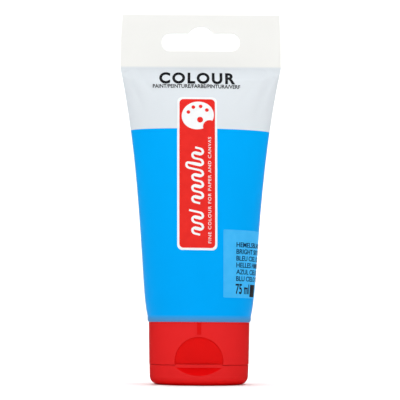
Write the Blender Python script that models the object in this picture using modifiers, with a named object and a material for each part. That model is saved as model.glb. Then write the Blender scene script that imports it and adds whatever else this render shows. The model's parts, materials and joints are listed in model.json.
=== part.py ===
"""Squeeze tube for artists' paint, standing on its flip-top cap.

Blender 4.5, metres, +Z up. The origin is the middle of the lid's flat standing face. The front, with the
thumb recess, looks along -Y, and the lid's hinge is at the back. The sleeve is one plastic film tube that is
round at the shoulder and welded flat at the tail, where a hang slot is punched. The head is the moulded
shoulder and neck that the sleeve is fused to. The cap snaps on the neck, and its lid turns on film hinges.
"""

import math

import bmesh
import bpy

# --- Driving dimensions ---------------------------------------------------------------------------------

TUBE_HEIGHT = 0.144  # standing face to the tail's top edge
CAP_HEIGHT = 0.0239  # standing face to the cap's rim, under the sleeve
LID_HEIGHT = 0.0077  # standing face to the seam between lid and cap body
TAIL_HEIGHT = 0.0208  # the flat, welded strip above the filled part

SLEEVE_RADIUS = 0.020
SLEEVE_WALL = 0.0005
TAIL_TAPER = 0.0006  # how much narrower the top edge is, on each side

CLEARANCE = 0.0003  # between pieces that touch, or are fused, on the real tube
CAP_STEP = 0.00055  # the cap's rim is this far inside the sleeve
CAP_DRAFT = 0.00025  # the cap body narrows by this down to the seam
LID_STEP = 0.0001  # the lid is this far inside the cap body at the seam
LID_DRAFT = 0.00015
CAP_WALL = 0.0012
LID_FOOT_RADIUS = 0.0033  # the rounding between the lid's side and its standing face

DECK_RISE = 0.0007  # the deck is set this far up inside the cap, from the seam
DECK_WALL = 0.0012
COLLAR_DROP = 0.0014  # the ring that centres the lid reaches this far below the seam
COLLAR_WALL = 0.0010
COLLAR_PLAY = 0.0005

ORIFICE_RADIUS = 0.0025
SPOUT_WALL = 0.0014
SPOUT_DROP = 0.0017
PLUG_LENGTH = 0.0028  # how far the lid's plug stands in the orifice
PLUG_BORE = 0.0012

NECK_RADIUS = 0.0076
NECK_WALL = 0.0014
NECK_MOUTH_GAP = 0.0013  # from the deck to the neck's mouth
NECK_BEAD = 0.0004  # the snap bead stands out of the neck by this
SOCKET_WALL = 0.0012
SOCKET_END_GAP = 0.0030  # from the socket's end to the shoulder
SHOULDER_SLOPE = 0.20  # rise of the shoulder for each unit outwards
SHOULDER_WALL = 0.0014
SHOULDER_RIM = 0.0018  # the part of the head that stands up inside the sleeve
SLEEVE_CURL = 0.0012  # radius of the sleeve's rounded end
CURL_START = 40  # the angle of that rounding where the film's edge is, in degrees

THUMB_RADIUS = 0.0092  # the round thumb recess, on the front
THUMB_RISE = 0.0014  # its centre, above the seam
THUMB_TOP_DEPTH = 0.0015
THUMB_SEAM_DEPTH = 0.0029
LIP_DEPTH = 0.0022  # the lid's lip, seen in the recess
LIP_HEIGHT = 0.0009
LIP_UNDERCUT = 0.0005
LID_SCOOP_HEIGHT = 0.0042  # from the seam to the low end of the lid's part of the recess

NOTCH_WIDTH = 0.0016  # the mark that lines the cap up with the print
NOTCH_LENGTH = 0.0047
NOTCH_DEPTH = 0.0003

HINGE_FLAT_DEPTH = 0.0010  # the flat for the hinge is cut this deep into the back
HINGE_FLAT_REACH = 0.0036  # above and below the seam
HINGE_PAD = 0.0012  # the wall behind the flat
FILM_WALL = 0.00025
FILM_WIDTH = 0.0030
FILM_REACH = 0.0015
STRAP_WALL = 0.0004
STRAP_WIDTH = 0.0030
STRAP_REACH = 0.0031
STRAP_TO_FILM = 0.0008

SLOT_WIDTH = 0.0305  # the hang slot
SLOT_HEIGHT = 0.0070
SLOT_END_RADIUS = 0.0032
SLOT_DROP = 0.01085  # from the tail's top edge to the slot's centre
BUMP_RADIUS = 0.0056
BUMP_RISE = 0.0062  # the bump's top, above the slot's centre

PAINT_GAP = 0.0003
PAINT_LEVEL = 0.70  # how far up the filled part of the sleeve the paint reaches
CAVITY_LEVEL = 0.985  # how far up it the two walls stay apart

SECTION_POINTS = 48
SLEEVE_STATIONS = 20
TURN_STEPS = 48

# --- Derived places -------------------------------------------------------------------------------------

SLEEVE_END = CAP_HEIGHT + CLEARANCE
CURL_HEIGHT = SLEEVE_CURL * math.cos(math.radians(CURL_START))
WELD_START = TUBE_HEIGHT - TAIL_HEIGHT
CAP_RIM_RADIUS = SLEEVE_RADIUS - CAP_STEP
CAP_SEAM_RADIUS = CAP_RIM_RADIUS - CAP_DRAFT
LID_SEAM_RADIUS = CAP_SEAM_RADIUS - LID_STEP
LID_FOOT_SIDE = LID_SEAM_RADIUS - LID_DRAFT
LID_INNER_RADIUS = LID_FOOT_SIDE - CAP_WALL
CAP_INNER_RADIUS = CAP_SEAM_RADIUS - CAP_WALL

BODY_SEAM = LID_HEIGHT + CLEARANCE / 2
LID_SEAM = LID_HEIGHT - CLEARANCE / 2
DECK_BOTTOM = BODY_SEAM + DECK_RISE
DECK_TOP = DECK_BOTTOM + DECK_WALL
COLLAR_RADIUS = LID_INNER_RADIUS - COLLAR_PLAY
COLLAR_END = BODY_SEAM - COLLAR_DROP
SPOUT_END = BODY_SEAM - SPOUT_DROP
PLUG_RADIUS = ORIFICE_RADIUS - CLEARANCE
PLUG_TIP = SPOUT_END + PLUG_LENGTH

NECK_MOUTH = DECK_TOP + NECK_MOUTH_GAP
SOCKET_RADIUS = NECK_RADIUS + NECK_BEAD + CLEARANCE
SOCKET_OUTSIDE = SOCKET_RADIUS + SOCKET_WALL
SHOULDER_RADIUS = SLEEVE_RADIUS - SLEEVE_WALL - CLEARANCE
SHOULDER_EDGE = SHOULDER_RADIUS - SLEEVE_CURL / 2
SHOULDER_EDGE_Z = SLEEVE_END + CLEARANCE
ROUND_END = SHOULDER_EDGE_Z + SHOULDER_RIM  # the sleeve is round as far up as it is fused to the head
NECK_ROOT = SHOULDER_EDGE_Z - (SHOULDER_EDGE - NECK_RADIUS) * SHOULDER_SLOPE
SOCKET_END = NECK_ROOT - SOCKET_END_GAP
NECK_BEAD_Z = NECK_MOUTH + 0.35 * (SOCKET_END - NECK_MOUTH)
SOCKET_BEAD_Z = NECK_BEAD_Z + 4 * NECK_BEAD + CLEARANCE

THUMB_Z = LID_HEIGHT + THUMB_RISE
THUMB_TOP = THUMB_Z + THUMB_RADIUS

HINGE_FLAT_Y = CAP_SEAM_RADIUS - HINGE_FLAT_DEPTH
HINGE_FLAT_HALF = math.sqrt(CAP_SEAM_RADIUS**2 - HINGE_FLAT_Y**2)
FILM_Y = HINGE_FLAT_Y + CLEARANCE + FILM_WALL / 2  # the hinge's axis lies in the films

SLOT_Z = TUBE_HEIGHT - SLOT_DROP
LID_SCOOP_Z = LID_SEAM - LID_SCOOP_HEIGHT


# --- Scene, materials and small helpers -----------------------------------------------------------------


def clear_scene():
    """Starts from an empty scene, with a collection for the object and one for its cutters."""
    for old in list(bpy.data.objects):
        bpy.data.objects.remove(old, do_unlink=True)
    parts = bpy.data.collections.new("squeeze_tube")
    helpers = bpy.data.collections.new("cutters")
    bpy.context.scene.collection.children.link(parts)
    bpy.context.scene.collection.children.link(helpers)
    return parts, helpers


def plastic(name, colour, roughness):
    """A Principled material of one colour."""
    made = bpy.data.materials.new(name)
    made.use_nodes = True
    shader = made.node_tree.nodes["Principled BSDF"]
    shader.inputs["Base Color"].default_value = (*colour, 1.0)
    shader.inputs["Roughness"].default_value = roughness
    shader.inputs["Metallic"].default_value = 0.0
    return made


def place(name, mesh, collection, material=None):
    """A named object for a mesh, with smooth shading up to 35 degrees."""
    made = bpy.data.objects.new(name, mesh)
    collection.objects.link(made)
    if material:
        mesh.materials.append(material)
    mesh.shade_smooth()
    mesh.set_sharp_from_angle(angle=math.radians(35))
    return made


def turned(name, profile, collection, material=None, closed=True):
    """A turned piece. The profile is (radius, height) points that run down the outer side."""
    count = len(profile)
    edges = [(i, i + 1) for i in range(count - 1)]
    if closed:
        edges.append((count - 1, 0))
    mesh = bpy.data.meshes.new(name)
    mesh.from_pydata([(r, 0.0, z) for r, z in profile], edges, [])
    made = place(name, mesh, collection, material)
    screw = made.modifiers.new("turn", "SCREW")
    screw.steps = TURN_STEPS
    screw.render_steps = TURN_STEPS
    screw.use_merge_vertices = True
    screw.merge_threshold = 0.00001
    screw.use_smooth_shade = True
    return made


def arc(centre, radius, start, end, steps):
    """Points of an arc in the profile's plane, with its angles in degrees."""
    points = []
    for i in range(steps + 1):
        angle = math.radians(start + (end - start) * i / steps)
        points.append((centre[0] + radius * math.cos(angle), centre[1] + radius * math.sin(angle)))
    return points


def box(name, low, high, collection, material=None):
    """A box between two corners."""
    bm = bmesh.new()
    bmesh.ops.create_cube(bm, size=1.0)
    size = [high[i] - low[i] for i in range(3)]
    middle = [(high[i] + low[i]) / 2 for i in range(3)]
    bmesh.ops.scale(bm, vec=size, verts=bm.verts)
    mesh = bpy.data.meshes.new(name)
    bm.to_mesh(mesh)
    bm.free()
    made = place(name, mesh, collection, material)
    made.location = middle
    return made


def rod_along_y(name, radius, low_y, high_y, height, collection, segments=64):
    """A cylinder along Y, centred at a height."""
    bm = bmesh.new()
    bmesh.ops.create_cone(
        bm, cap_ends=True, segments=segments, radius1=radius, radius2=radius, depth=high_y - low_y
    )
    mesh = bpy.data.meshes.new(name)
    bm.to_mesh(mesh)
    bm.free()
    made = place(name, mesh, collection)
    made.rotation_euler = (math.pi / 2, 0.0, 0.0)
    made.location = (0.0, (low_y + high_y) / 2, height)
    return made


def as_helper(*objects):
    """Cutters and guides stay out of renders."""
    for helper in objects:
        helper.hide_render = True
        helper.display_type = "WIRE"


def combine(target, other, operation):
    """A live Boolean with the exact solver."""
    step = target.modifiers.new(f"{operation.lower()} {other.name}", "BOOLEAN")
    step.operation = operation
    step.object = other
    step.solver = "EXACT"


# --- The sleeve's sections ------------------------------------------------------------------------------

STEADY_WIDENING = 0.62  # the share of the widening that is steady, the rest comes near the weld
WELD_PINCH = 3.3
SWELL = 0.07  # the film swells soon above the round shoulder
SWELL_LENGTH = 0.05
WELD_SQUARENESS = 6.0  # exponent of the flat section's outline, which keeps its thickness even


def smoothstep(low, high, value):
    share = min(1.0, max(0.0, (value - low) / (high - low)))
    return share * share * (3 - 2 * share)


def half_width(share):
    """Half the sleeve's width at a share of the way from the shoulder to the weld."""
    steady = STEADY_WIDENING * share + (1 - STEADY_WIDENING) * share**WELD_PINCH
    swelling = SWELL * (1 - share) * (1 - math.exp(-share / SWELL_LENGTH))
    return SLEEVE_RADIUS * (1 + (math.pi / 2 - 1) * (steady + swelling))


def squareness(share):
    """The exponent of a section's outline: 2 is an ellipse, and more has flatter faces."""
    return 2.0 + (WELD_SQUARENESS - 2.0) * smoothstep(0.94, 1.0, share)


def section(half_x, half_y, exponent, height):
    """One closed ring of points round the tube, anticlockwise from above."""
    points = []
    for i in range(SECTION_POINTS):
        angle = 2 * math.pi * i / SECTION_POINTS
        across = math.cos(angle)
        beyond = max(0.0, 1 - abs(across) ** exponent) ** (1 / exponent)
        if i in (0, SECTION_POINTS // 2):
            beyond = 0.0
        points.append((half_x * across, math.copysign(half_y * beyond, math.sin(angle)), height))
    return points


def girth(points):
    return sum(math.dist(points[i - 1], points[i]) for i in range(len(points)))


def half_depth(share):
    """Half the sleeve's depth. The film doesn't stretch, so every section has the same girth."""
    full = girth(section(SLEEVE_RADIUS, SLEEVE_RADIUS, 2.0, 0.0))
    low, high = SLEEVE_WALL, SLEEVE_RADIUS
    for _ in range(30):
        middle = (low + high) / 2
        if girth(section(half_width(share), middle, squareness(share), 0.0)) > full:
            high = middle
        else:
            low = middle
    return low


def filled_height(share):
    return ROUND_END + (WELD_START - ROUND_END) * share


def rings_inside(inset, last_share, lowest=0.0):
    """Sections of the filled part, this far inside the outer skin, closer together near both ends."""
    shares = []
    for i in range(SLEEVE_STATIONS + 1):
        even = i / SLEEVE_STATIONS
        share = even - 0.12 * math.sin(2 * math.pi * even)
        if share < last_share - 0.4 / SLEEVE_STATIONS and filled_height(share) > lowest:
            shares.append(share)
    shares.append(last_share)
    rings = []
    for share in shares:
        half_x = half_width(share) - inset
        half_y = max(half_depth(share) - inset, SLEEVE_WALL)
        rings.append(section(half_x, half_y, squareness(share), filled_height(share)))
    return rings


def curled_end(inset):
    """The rounded end of the sleeve, as sections from its edge up to the full radius."""
    rings = []
    for step in range(4):
        angle = math.radians(CURL_START + (90 - CURL_START) * step / 3)
        radius = SLEEVE_RADIUS - SLEEVE_CURL * (1 - math.sin(angle)) - inset
        height = SLEEVE_END + CURL_HEIGHT - SLEEVE_CURL * math.cos(angle)
        rings.append(section(radius, radius, 2.0, height))
    return rings


def skin_of(name, rings, collection, material, inner=None):
    """A loft through rings, closed at the top. With inner rings it is a shell, open at the bottom."""
    bm = bmesh.new()

    def wall(loops, outwards):
        layers = [[bm.verts.new(point) for point in loop] for loop in loops]
        for low, high in zip(layers, layers[1:]):
            for i in range(SECTION_POINTS):
                j = (i + 1) % SECTION_POINTS
                corners = (low[i], low[j], high[j], high[i])
                bm.faces.new(corners if outwards else corners[::-1])
        bm.faces.new(layers[-1] if outwards else layers[-1][::-1])
        return layers[0]

    outer_edge = wall(rings, True)
    if inner is None:
        bm.faces.new(outer_edge[::-1])
    else:
        inner_edge = wall(inner, False)
        for i in range(SECTION_POINTS):
            j = (i + 1) % SECTION_POINTS
            bm.faces.new((outer_edge[j], outer_edge[i], inner_edge[i], inner_edge[j]))
    mesh = bpy.data.meshes.new(name)
    bm.to_mesh(mesh)
    bm.free()
    return place(name, mesh, collection, material)


# --- Pieces ---------------------------------------------------------------------------------------------


def make_sleeve(parts, helpers, material):
    """The film tube: curled end, filled part, welded tail and its hang slot."""
    outer = curled_end(0.0) + rings_inside(0.0, 1.0)
    tail_half = half_width(1.0)
    tail_middle = (WELD_START + TUBE_HEIGHT) / 2
    outer.append(section(tail_half, SLEEVE_WALL, squareness(1.0), tail_middle))
    outer.append(section(tail_half - TAIL_TAPER, SLEEVE_WALL, squareness(1.0), TUBE_HEIGHT))
    inner = curled_end(SLEEVE_WALL) + rings_inside(SLEEVE_WALL, CAVITY_LEVEL)
    sleeve = skin_of("sleeve", outer, parts, material, inner)

    reach = 4 * SLEEVE_WALL
    bar = box(
        "slot_bar",
        (-SLOT_WIDTH / 2, -reach, SLOT_Z - SLOT_HEIGHT / 2),
        (SLOT_WIDTH / 2, reach, SLOT_Z + SLOT_HEIGHT / 2),
        helpers,
    )
    weights = bar.data.attributes.new("bevel_weight_edge", "FLOAT", "EDGE")
    for edge in bar.data.edges:
        ends = [bar.data.vertices[v].co for v in edge.vertices]
        if abs(ends[0].y - ends[1].y) > reach:
            weights.data[edge.index].value = 1.0
    rounding = bar.modifiers.new("round ends", "BEVEL")
    rounding.limit_method = "WEIGHT"
    rounding.width = min(SLOT_END_RADIUS, 0.48 * SLOT_HEIGHT)
    rounding.segments = 6
    bump = rod_along_y("slot_bump", BUMP_RADIUS, -reach, reach, SLOT_Z + BUMP_RISE - BUMP_RADIUS, helpers, 32)
    for vertex in bump.data.vertices:  # the rod's own Y points up; below the slot's middle it is cut off
        vertex.co.y = max(vertex.co.y, BUMP_RADIUS - BUMP_RISE)
    as_helper(bar, bump)
    combine(sleeve, bar, "DIFFERENCE")
    combine(sleeve, bump, "DIFFERENCE")
    return sleeve


def make_paint(parts, material):
    """The paint that fills the sleeve and the neck."""
    bore = NECK_RADIUS - NECK_WALL - PAINT_GAP
    widest = SHOULDER_RADIUS - SHOULDER_WALL - PAINT_GAP
    rings = [
        section(bore, bore, 2.0, NECK_MOUTH),
        section(bore, bore, 2.0, NECK_ROOT + SHOULDER_WALL + PAINT_GAP),
        section(widest, widest, 2.0, SHOULDER_EDGE_Z + SHOULDER_WALL + PAINT_GAP),
        section(widest, widest, 2.0, ROUND_END + PAINT_GAP),
    ]
    rings += rings_inside(SLEEVE_WALL + PAINT_GAP, PAINT_LEVEL, ROUND_END + SHOULDER_WALL)
    return skin_of("paint_fill", rings, parts, material)


def make_head(parts, material):
    """The moulded shoulder and neck, with the bead that the cap snaps over."""
    inner_edge = SHOULDER_RADIUS - SHOULDER_WALL
    bore = NECK_RADIUS - NECK_WALL
    profile = [
        (SHOULDER_RADIUS, ROUND_END),
        (SHOULDER_RADIUS, SHOULDER_EDGE_Z + SLEEVE_CURL),
        (SHOULDER_EDGE, SHOULDER_EDGE_Z),
        (NECK_RADIUS + 2 * NECK_BEAD, NECK_ROOT + 2 * NECK_BEAD * SHOULDER_SLOPE),
        (NECK_RADIUS, NECK_ROOT - NECK_BEAD),
        (NECK_RADIUS, NECK_BEAD_Z + 2 * NECK_BEAD),
        (NECK_RADIUS + NECK_BEAD, NECK_BEAD_Z + NECK_BEAD),
        (NECK_RADIUS + NECK_BEAD, NECK_BEAD_Z),
        (NECK_RADIUS, NECK_BEAD_Z - 2 * NECK_BEAD),
        (NECK_RADIUS, NECK_MOUTH),
        (bore, NECK_MOUTH),
        (bore, NECK_ROOT + SHOULDER_WALL),
        (inner_edge, SHOULDER_EDGE_Z + SHOULDER_WALL),
        (inner_edge, ROUND_END),
    ]
    return turned("tube_head", profile, parts, material)


def thumb_floor(height):
    """How deep the recess in the cap body is at a height."""
    share = (height - LID_HEIGHT) / (THUMB_TOP - LID_HEIGHT)
    return THUMB_SEAM_DEPTH + (THUMB_TOP_DEPTH - THUMB_SEAM_DEPTH) * share


def prism_x(name, outline, half_x, collection):
    """A prism along X, from an outline of (y, z) points, anticlockwise seen from +X."""
    bm = bmesh.new()
    sides = []
    for x in (-half_x, half_x):
        sides.append([bm.verts.new((x, y, z)) for y, z in outline])
    bm.faces.new(sides[0][::-1])
    bm.faces.new(sides[1])
    count = len(outline)
    for i in range(count):
        j = (i + 1) % count
        bm.faces.new((sides[0][i], sides[0][j], sides[1][j], sides[1][i]))
    bmesh.ops.recalc_face_normals(bm, faces=bm.faces)
    mesh = bpy.data.meshes.new(name)
    bm.to_mesh(mesh)
    bm.free()
    return place(name, mesh, collection)


def make_cap_body(parts, helpers, material):
    """Outer skirt, deck with the spout, socket for the neck, and the recesses at the front and back."""
    bead = SOCKET_RADIUS - NECK_BEAD
    edge = CLEARANCE / 2
    profile = [
        (CAP_RIM_RADIUS - edge, CAP_HEIGHT),
        (CAP_RIM_RADIUS, CAP_HEIGHT - edge),
        (CAP_SEAM_RADIUS, BODY_SEAM + edge),
        (CAP_SEAM_RADIUS - edge, BODY_SEAM),
        (COLLAR_RADIUS, BODY_SEAM),
        (COLLAR_RADIUS, COLLAR_END + edge),
        (COLLAR_RADIUS - edge, COLLAR_END),
        (COLLAR_RADIUS - COLLAR_WALL, COLLAR_END),
        (COLLAR_RADIUS - COLLAR_WALL, DECK_BOTTOM),
        (ORIFICE_RADIUS + SPOUT_WALL, DECK_BOTTOM),
        (ORIFICE_RADIUS + SPOUT_WALL - edge, SPOUT_END),
        (ORIFICE_RADIUS, SPOUT_END),
        (ORIFICE_RADIUS, DECK_TOP),
        (SOCKET_RADIUS, DECK_TOP),
        (SOCKET_RADIUS, SOCKET_BEAD_Z - NECK_BEAD),
        (bead, SOCKET_BEAD_Z),
        (bead, SOCKET_BEAD_Z + NECK_BEAD),
        (SOCKET_RADIUS, SOCKET_BEAD_Z + 2 * NECK_BEAD),
        (SOCKET_RADIUS + edge, SOCKET_END),
        (SOCKET_OUTSIDE, SOCKET_END),
        (SOCKET_OUTSIDE, DECK_TOP),
        (CAP_INNER_RADIUS, DECK_TOP),
        (CAP_RIM_RADIUS - CAP_WALL, CAP_HEIGHT),
    ]
    cap = turned("cap_body", profile, parts, material)

    # Thicker wall behind the thumb recess and behind the hinge.
    core = turned(
        "cap_core",
        [
            (0.0, THUMB_TOP + 2 * CAP_WALL),
            (CAP_SEAM_RADIUS - edge, THUMB_TOP + 2 * CAP_WALL),
            (CAP_SEAM_RADIUS - edge, BODY_SEAM + edge),
            (0.0, BODY_SEAM + edge),
        ],
        helpers,
        closed=False,
    )
    backing = rod_along_y(
        "thumb_backing",
        THUMB_RADIUS + CAP_WALL,
        -SLEEVE_RADIUS,
        -CAP_SEAM_RADIUS + THUMB_SEAM_DEPTH + CAP_WALL,
        THUMB_Z,
        helpers,
    )
    combine(backing, core, "INTERSECT")
    hinge_pad = box(
        "hinge_pad",
        (-HINGE_FLAT_HALF, HINGE_FLAT_Y - HINGE_PAD, BODY_SEAM),
        (HINGE_FLAT_HALF, HINGE_FLAT_Y + CLEARANCE, BODY_SEAM + HINGE_FLAT_REACH + HINGE_PAD),
        helpers,
    )
    combine(hinge_pad, core, "INTERSECT")

    low = LID_HEIGHT - CAP_WALL
    high = THUMB_TOP + CAP_WALL
    slope = prism_x(
        "thumb_slope",
        [
            (-SLEEVE_RADIUS - CAP_WALL, low),
            (-CAP_SEAM_RADIUS + thumb_floor(low), low),
            (-CAP_SEAM_RADIUS + thumb_floor(high), high),
            (-SLEEVE_RADIUS - CAP_WALL, high),
        ],
        THUMB_RADIUS + CAP_WALL,
        helpers,
    )
    thumb = rod_along_y("thumb_cut", THUMB_RADIUS, -SLEEVE_RADIUS - CAP_WALL / 2, 0.0, THUMB_Z, helpers)
    combine(thumb, slope, "INTERSECT")

    hinge_window = box(
        "hinge_window_body",
        (-HINGE_FLAT_HALF - CAP_WALL, HINGE_FLAT_Y, LID_HEIGHT - HINGE_FLAT_REACH),
        (HINGE_FLAT_HALF + CAP_WALL, SLEEVE_RADIUS + CAP_WALL, LID_HEIGHT + HINGE_FLAT_REACH),
        helpers,
    )
    below = BODY_SEAM - CLEARANCE / 10
    front_gap = box(
        "collar_gap_front",
        (-THUMB_RADIUS - 2 * CAP_WALL, -SLEEVE_RADIUS, COLLAR_END - CAP_WALL),
        (THUMB_RADIUS + 2 * CAP_WALL, -CAP_SEAM_RADIUS / 2, below),
        helpers,
    )
    back_gap = box(
        "collar_gap_back",
        (-HINGE_FLAT_HALF - CAP_WALL, CAP_SEAM_RADIUS / 2, COLLAR_END - CAP_WALL),
        (HINGE_FLAT_HALF + CAP_WALL, SLEEVE_RADIUS, below),
        helpers,
    )
    notch = box(
        "print_notch",
        (-NOTCH_WIDTH / 2, -SLEEVE_RADIUS, CAP_HEIGHT - NOTCH_LENGTH),
        (NOTCH_WIDTH / 2, -CAP_RIM_RADIUS + NOTCH_DEPTH, CAP_HEIGHT + CAP_WALL),
        helpers,
    )
    as_helper(core, backing, hinge_pad, slope, thumb, hinge_window, front_gap, back_gap, notch)
    combine(cap, backing, "UNION")
    combine(cap, hinge_pad, "UNION")
    for cutter in (thumb, hinge_window, front_gap, back_gap, notch):
        combine(cap, cutter, "DIFFERENCE")
    return cap


def make_lid(parts, helpers, material):
    """The flip lid: a shallow cup with the plug that closes the spout, and the lip for the thumb."""
    edge = CLEARANCE / 2
    floor = CAP_WALL
    foot_centre = (LID_FOOT_SIDE - LID_FOOT_RADIUS, LID_FOOT_RADIUS)
    inner_rounding = max(LID_FOOT_RADIUS - CAP_WALL, CAP_WALL / 2)
    inner_centre = (LID_INNER_RADIUS - inner_rounding, floor + inner_rounding)
    profile = [
        (0.0, floor),
        (PLUG_BORE, floor),
        (PLUG_BORE, PLUG_TIP),
        (PLUG_RADIUS - edge, PLUG_TIP),
        (PLUG_RADIUS, PLUG_TIP - edge),
        (PLUG_RADIUS, floor),
    ]
    profile += arc(inner_centre, inner_rounding, -90, 0, 4)
    profile += [(LID_INNER_RADIUS, LID_SEAM), (LID_SEAM_RADIUS - edge, LID_SEAM), (LID_SEAM_RADIUS, LID_SEAM - edge)]
    profile += arc(foot_centre, LID_FOOT_RADIUS, 0, -90, 6)
    profile.append((0.0, 0.0))
    lid = turned("cap_lid", profile, parts, material, closed=False)

    core = turned(
        "lid_core",
        [
            (0.0, LID_SEAM - edge),
            (LID_SEAM_RADIUS - edge, LID_SEAM - edge),
            (LID_FOOT_SIDE - edge, LID_FOOT_RADIUS),
            (LID_FOOT_SIDE - LID_FOOT_RADIUS, edge),
            (0.0, edge),
        ],
        helpers,
        closed=False,
    )
    front = -LID_SEAM_RADIUS
    outside = -SLEEVE_RADIUS - CAP_WALL
    lip_z = LID_SEAM - LIP_HEIGHT
    deep = front + LIP_DEPTH + LIP_UNDERCUT
    half = THUMB_RADIUS + CAP_WALL
    backing = prism_x(
        "lid_backing",
        [
            (outside, floor / 2),
            (deep + CAP_WALL, floor / 2),
            (deep + CAP_WALL, LID_SEAM + CAP_WALL),
            (outside, LID_SEAM + CAP_WALL),
        ],
        half,
        helpers,
    )
    combine(backing, core, "INTERSECT")
    hinge_pad = box(
        "lid_hinge_pad",
        (-HINGE_FLAT_HALF, HINGE_FLAT_Y - HINGE_PAD, floor / 2),
        (HINGE_FLAT_HALF, HINGE_FLAT_Y + CLEARANCE, LID_SEAM),
        helpers,
    )
    combine(hinge_pad, core, "INTERSECT")
    scoop = prism_x(
        "lid_scoop",
        [(outside, LID_SCOOP_Z - (front - outside)), (front, LID_SCOOP_Z), (deep, lip_z), (outside, lip_z)],
        half,
        helpers,
    )
    lip = box(
        "lip_cut",
        (-half, outside, lip_z - CLEARANCE / 10),
        (half, front + LIP_DEPTH, LID_SEAM + CAP_WALL),
        helpers,
    )
    hinge_window = box(
        "hinge_window_lid",
        (-HINGE_FLAT_HALF - CAP_WALL, HINGE_FLAT_Y, LID_HEIGHT - HINGE_FLAT_REACH),
        (HINGE_FLAT_HALF + CAP_WALL, SLEEVE_RADIUS + CAP_WALL, LID_HEIGHT + HINGE_FLAT_REACH),
        helpers,
    )
    as_helper(core, backing, hinge_pad, scoop, lip, hinge_window)
    combine(lid, backing, "UNION")
    combine(lid, hinge_pad, "UNION")
    for cutter in (scoop, lip, hinge_window):
        combine(lid, cutter, "DIFFERENCE")
    return lid


def make_hinge(parts, material):
    """Two film hinges, and the strap between them that snaps the lid open or shut."""
    film_x = STRAP_WIDTH / 2 + STRAP_TO_FILM
    for side, name in ((-1, "hinge_film_left"), (1, "hinge_film_right")):
        ends = sorted((side * film_x, side * (film_x + FILM_WIDTH)))
        box(
            name,
            (ends[0], FILM_Y - FILM_WALL / 2, LID_HEIGHT - FILM_REACH),
            (ends[1], FILM_Y + FILM_WALL / 2, LID_HEIGHT + FILM_REACH),
            parts,
            material,
        )
    box(
        "hinge_snap_strap",
        (-STRAP_WIDTH / 2, FILM_Y - FILM_WALL / 2, LID_HEIGHT - STRAP_REACH),
        (STRAP_WIDTH / 2, FILM_Y - FILM_WALL / 2 + STRAP_WALL, LID_HEIGHT + STRAP_REACH),
        parts,
        material,
    )


def main():
    parts, helpers = clear_scene()
    film = plastic("sleeve film", (0.0, 0.38, 0.92), 0.35)
    natural = plastic("natural head plastic", (0.80, 0.82, 0.82), 0.40)
    red = plastic("red cap plastic", (0.75, 0.02, 0.02), 0.35)
    blue = plastic("blue paint", (0.0, 0.38, 0.92), 0.25)
    make_sleeve(parts, helpers, film)
    make_paint(parts, blue)
    make_head(parts, natural)
    make_cap_body(parts, helpers, red)
    make_lid(parts, helpers, red)
    make_hinge(parts, red)


main()
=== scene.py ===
# %% [markdown]
# # A squeeze tube of paint, standing on its flip-top cap
#
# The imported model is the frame: it holds the sizes, the two bodies (the tube and its lid) and the hinge that
# joins them. This script dresses it. The film sleeve, the cap and its lid are modelled again with a finer
# surface, in the place of their plain solids, and the print lies on the sleeve as thin layers of ink.

import json
import math
from functools import cache

import bmesh
import bpy
import numpy as np
from mathutils import Matrix, Vector


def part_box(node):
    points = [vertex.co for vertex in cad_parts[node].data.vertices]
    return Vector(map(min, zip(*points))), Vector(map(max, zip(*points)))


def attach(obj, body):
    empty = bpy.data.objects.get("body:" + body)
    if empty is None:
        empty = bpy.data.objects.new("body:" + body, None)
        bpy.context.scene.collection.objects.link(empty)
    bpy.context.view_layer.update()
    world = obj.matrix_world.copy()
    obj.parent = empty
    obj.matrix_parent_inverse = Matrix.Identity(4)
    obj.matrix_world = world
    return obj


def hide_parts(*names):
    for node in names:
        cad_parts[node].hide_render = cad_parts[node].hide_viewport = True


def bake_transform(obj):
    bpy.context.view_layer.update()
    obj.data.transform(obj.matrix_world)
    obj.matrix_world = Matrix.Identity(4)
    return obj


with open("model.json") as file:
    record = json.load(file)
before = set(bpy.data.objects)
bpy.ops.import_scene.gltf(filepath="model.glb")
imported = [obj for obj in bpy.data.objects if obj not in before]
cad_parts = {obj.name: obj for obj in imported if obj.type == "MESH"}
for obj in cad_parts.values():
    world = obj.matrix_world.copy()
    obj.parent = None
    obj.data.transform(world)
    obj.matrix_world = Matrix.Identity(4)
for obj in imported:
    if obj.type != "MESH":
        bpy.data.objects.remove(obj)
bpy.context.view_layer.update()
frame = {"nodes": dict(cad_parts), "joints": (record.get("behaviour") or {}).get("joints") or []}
nodes = frame["nodes"]
print("nodes:", sorted(nodes))

# %% [markdown]
# ## Sizes
#
# Everything is in metres. The big sizes come from the frame's own boxes, so a change of the part carries
# over. The rest are the small sizes that a mould maker or a printer would set, named where they are used.

# %% Sizes from the frame
MM = 0.001

lid_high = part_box("cap_lid")[1]
cap_low, cap_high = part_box("cap_body")
sleeve_low, sleeve_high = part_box("sleeve")
head_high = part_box("tube_head")[1]
hinge_y, seam_z = frame["joints"][0]["pos_m"][1:]

TUBE_TOP = sleeve_high.z
SLEEVE_END = sleeve_low.z
SLEEVE_RADIUS = sleeve_high.y
ROUND_END = head_high.z  # the sleeve is round as far up as it is fused to the head
CAP_RIM = cap_high.z
RIM_RADIUS = cap_high.x
LID_RADIUS = lid_high.x
print("seam at", round(seam_z / MM, 2), "mm")
print("sleeve from", round(SLEEVE_END / MM, 2), "to", round(TUBE_TOP / MM, 2), "mm")

# %% [markdown]
# ## Helpers for modelling by hand
#
# An operator acts on whatever is selected, so each step first clears the selection. Faces, edges and points
# are then picked by a test of their place or normal, as the hand would pick them by eye.

# %% Helpers


def deselect():
    """Nothing is selected or active afterwards."""
    if bpy.context.object and bpy.context.object.mode != "OBJECT":
        bpy.ops.object.mode_set(mode="OBJECT")
    bpy.ops.object.select_all(action="DESELECT")
    bpy.context.view_layer.objects.active = None


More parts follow.
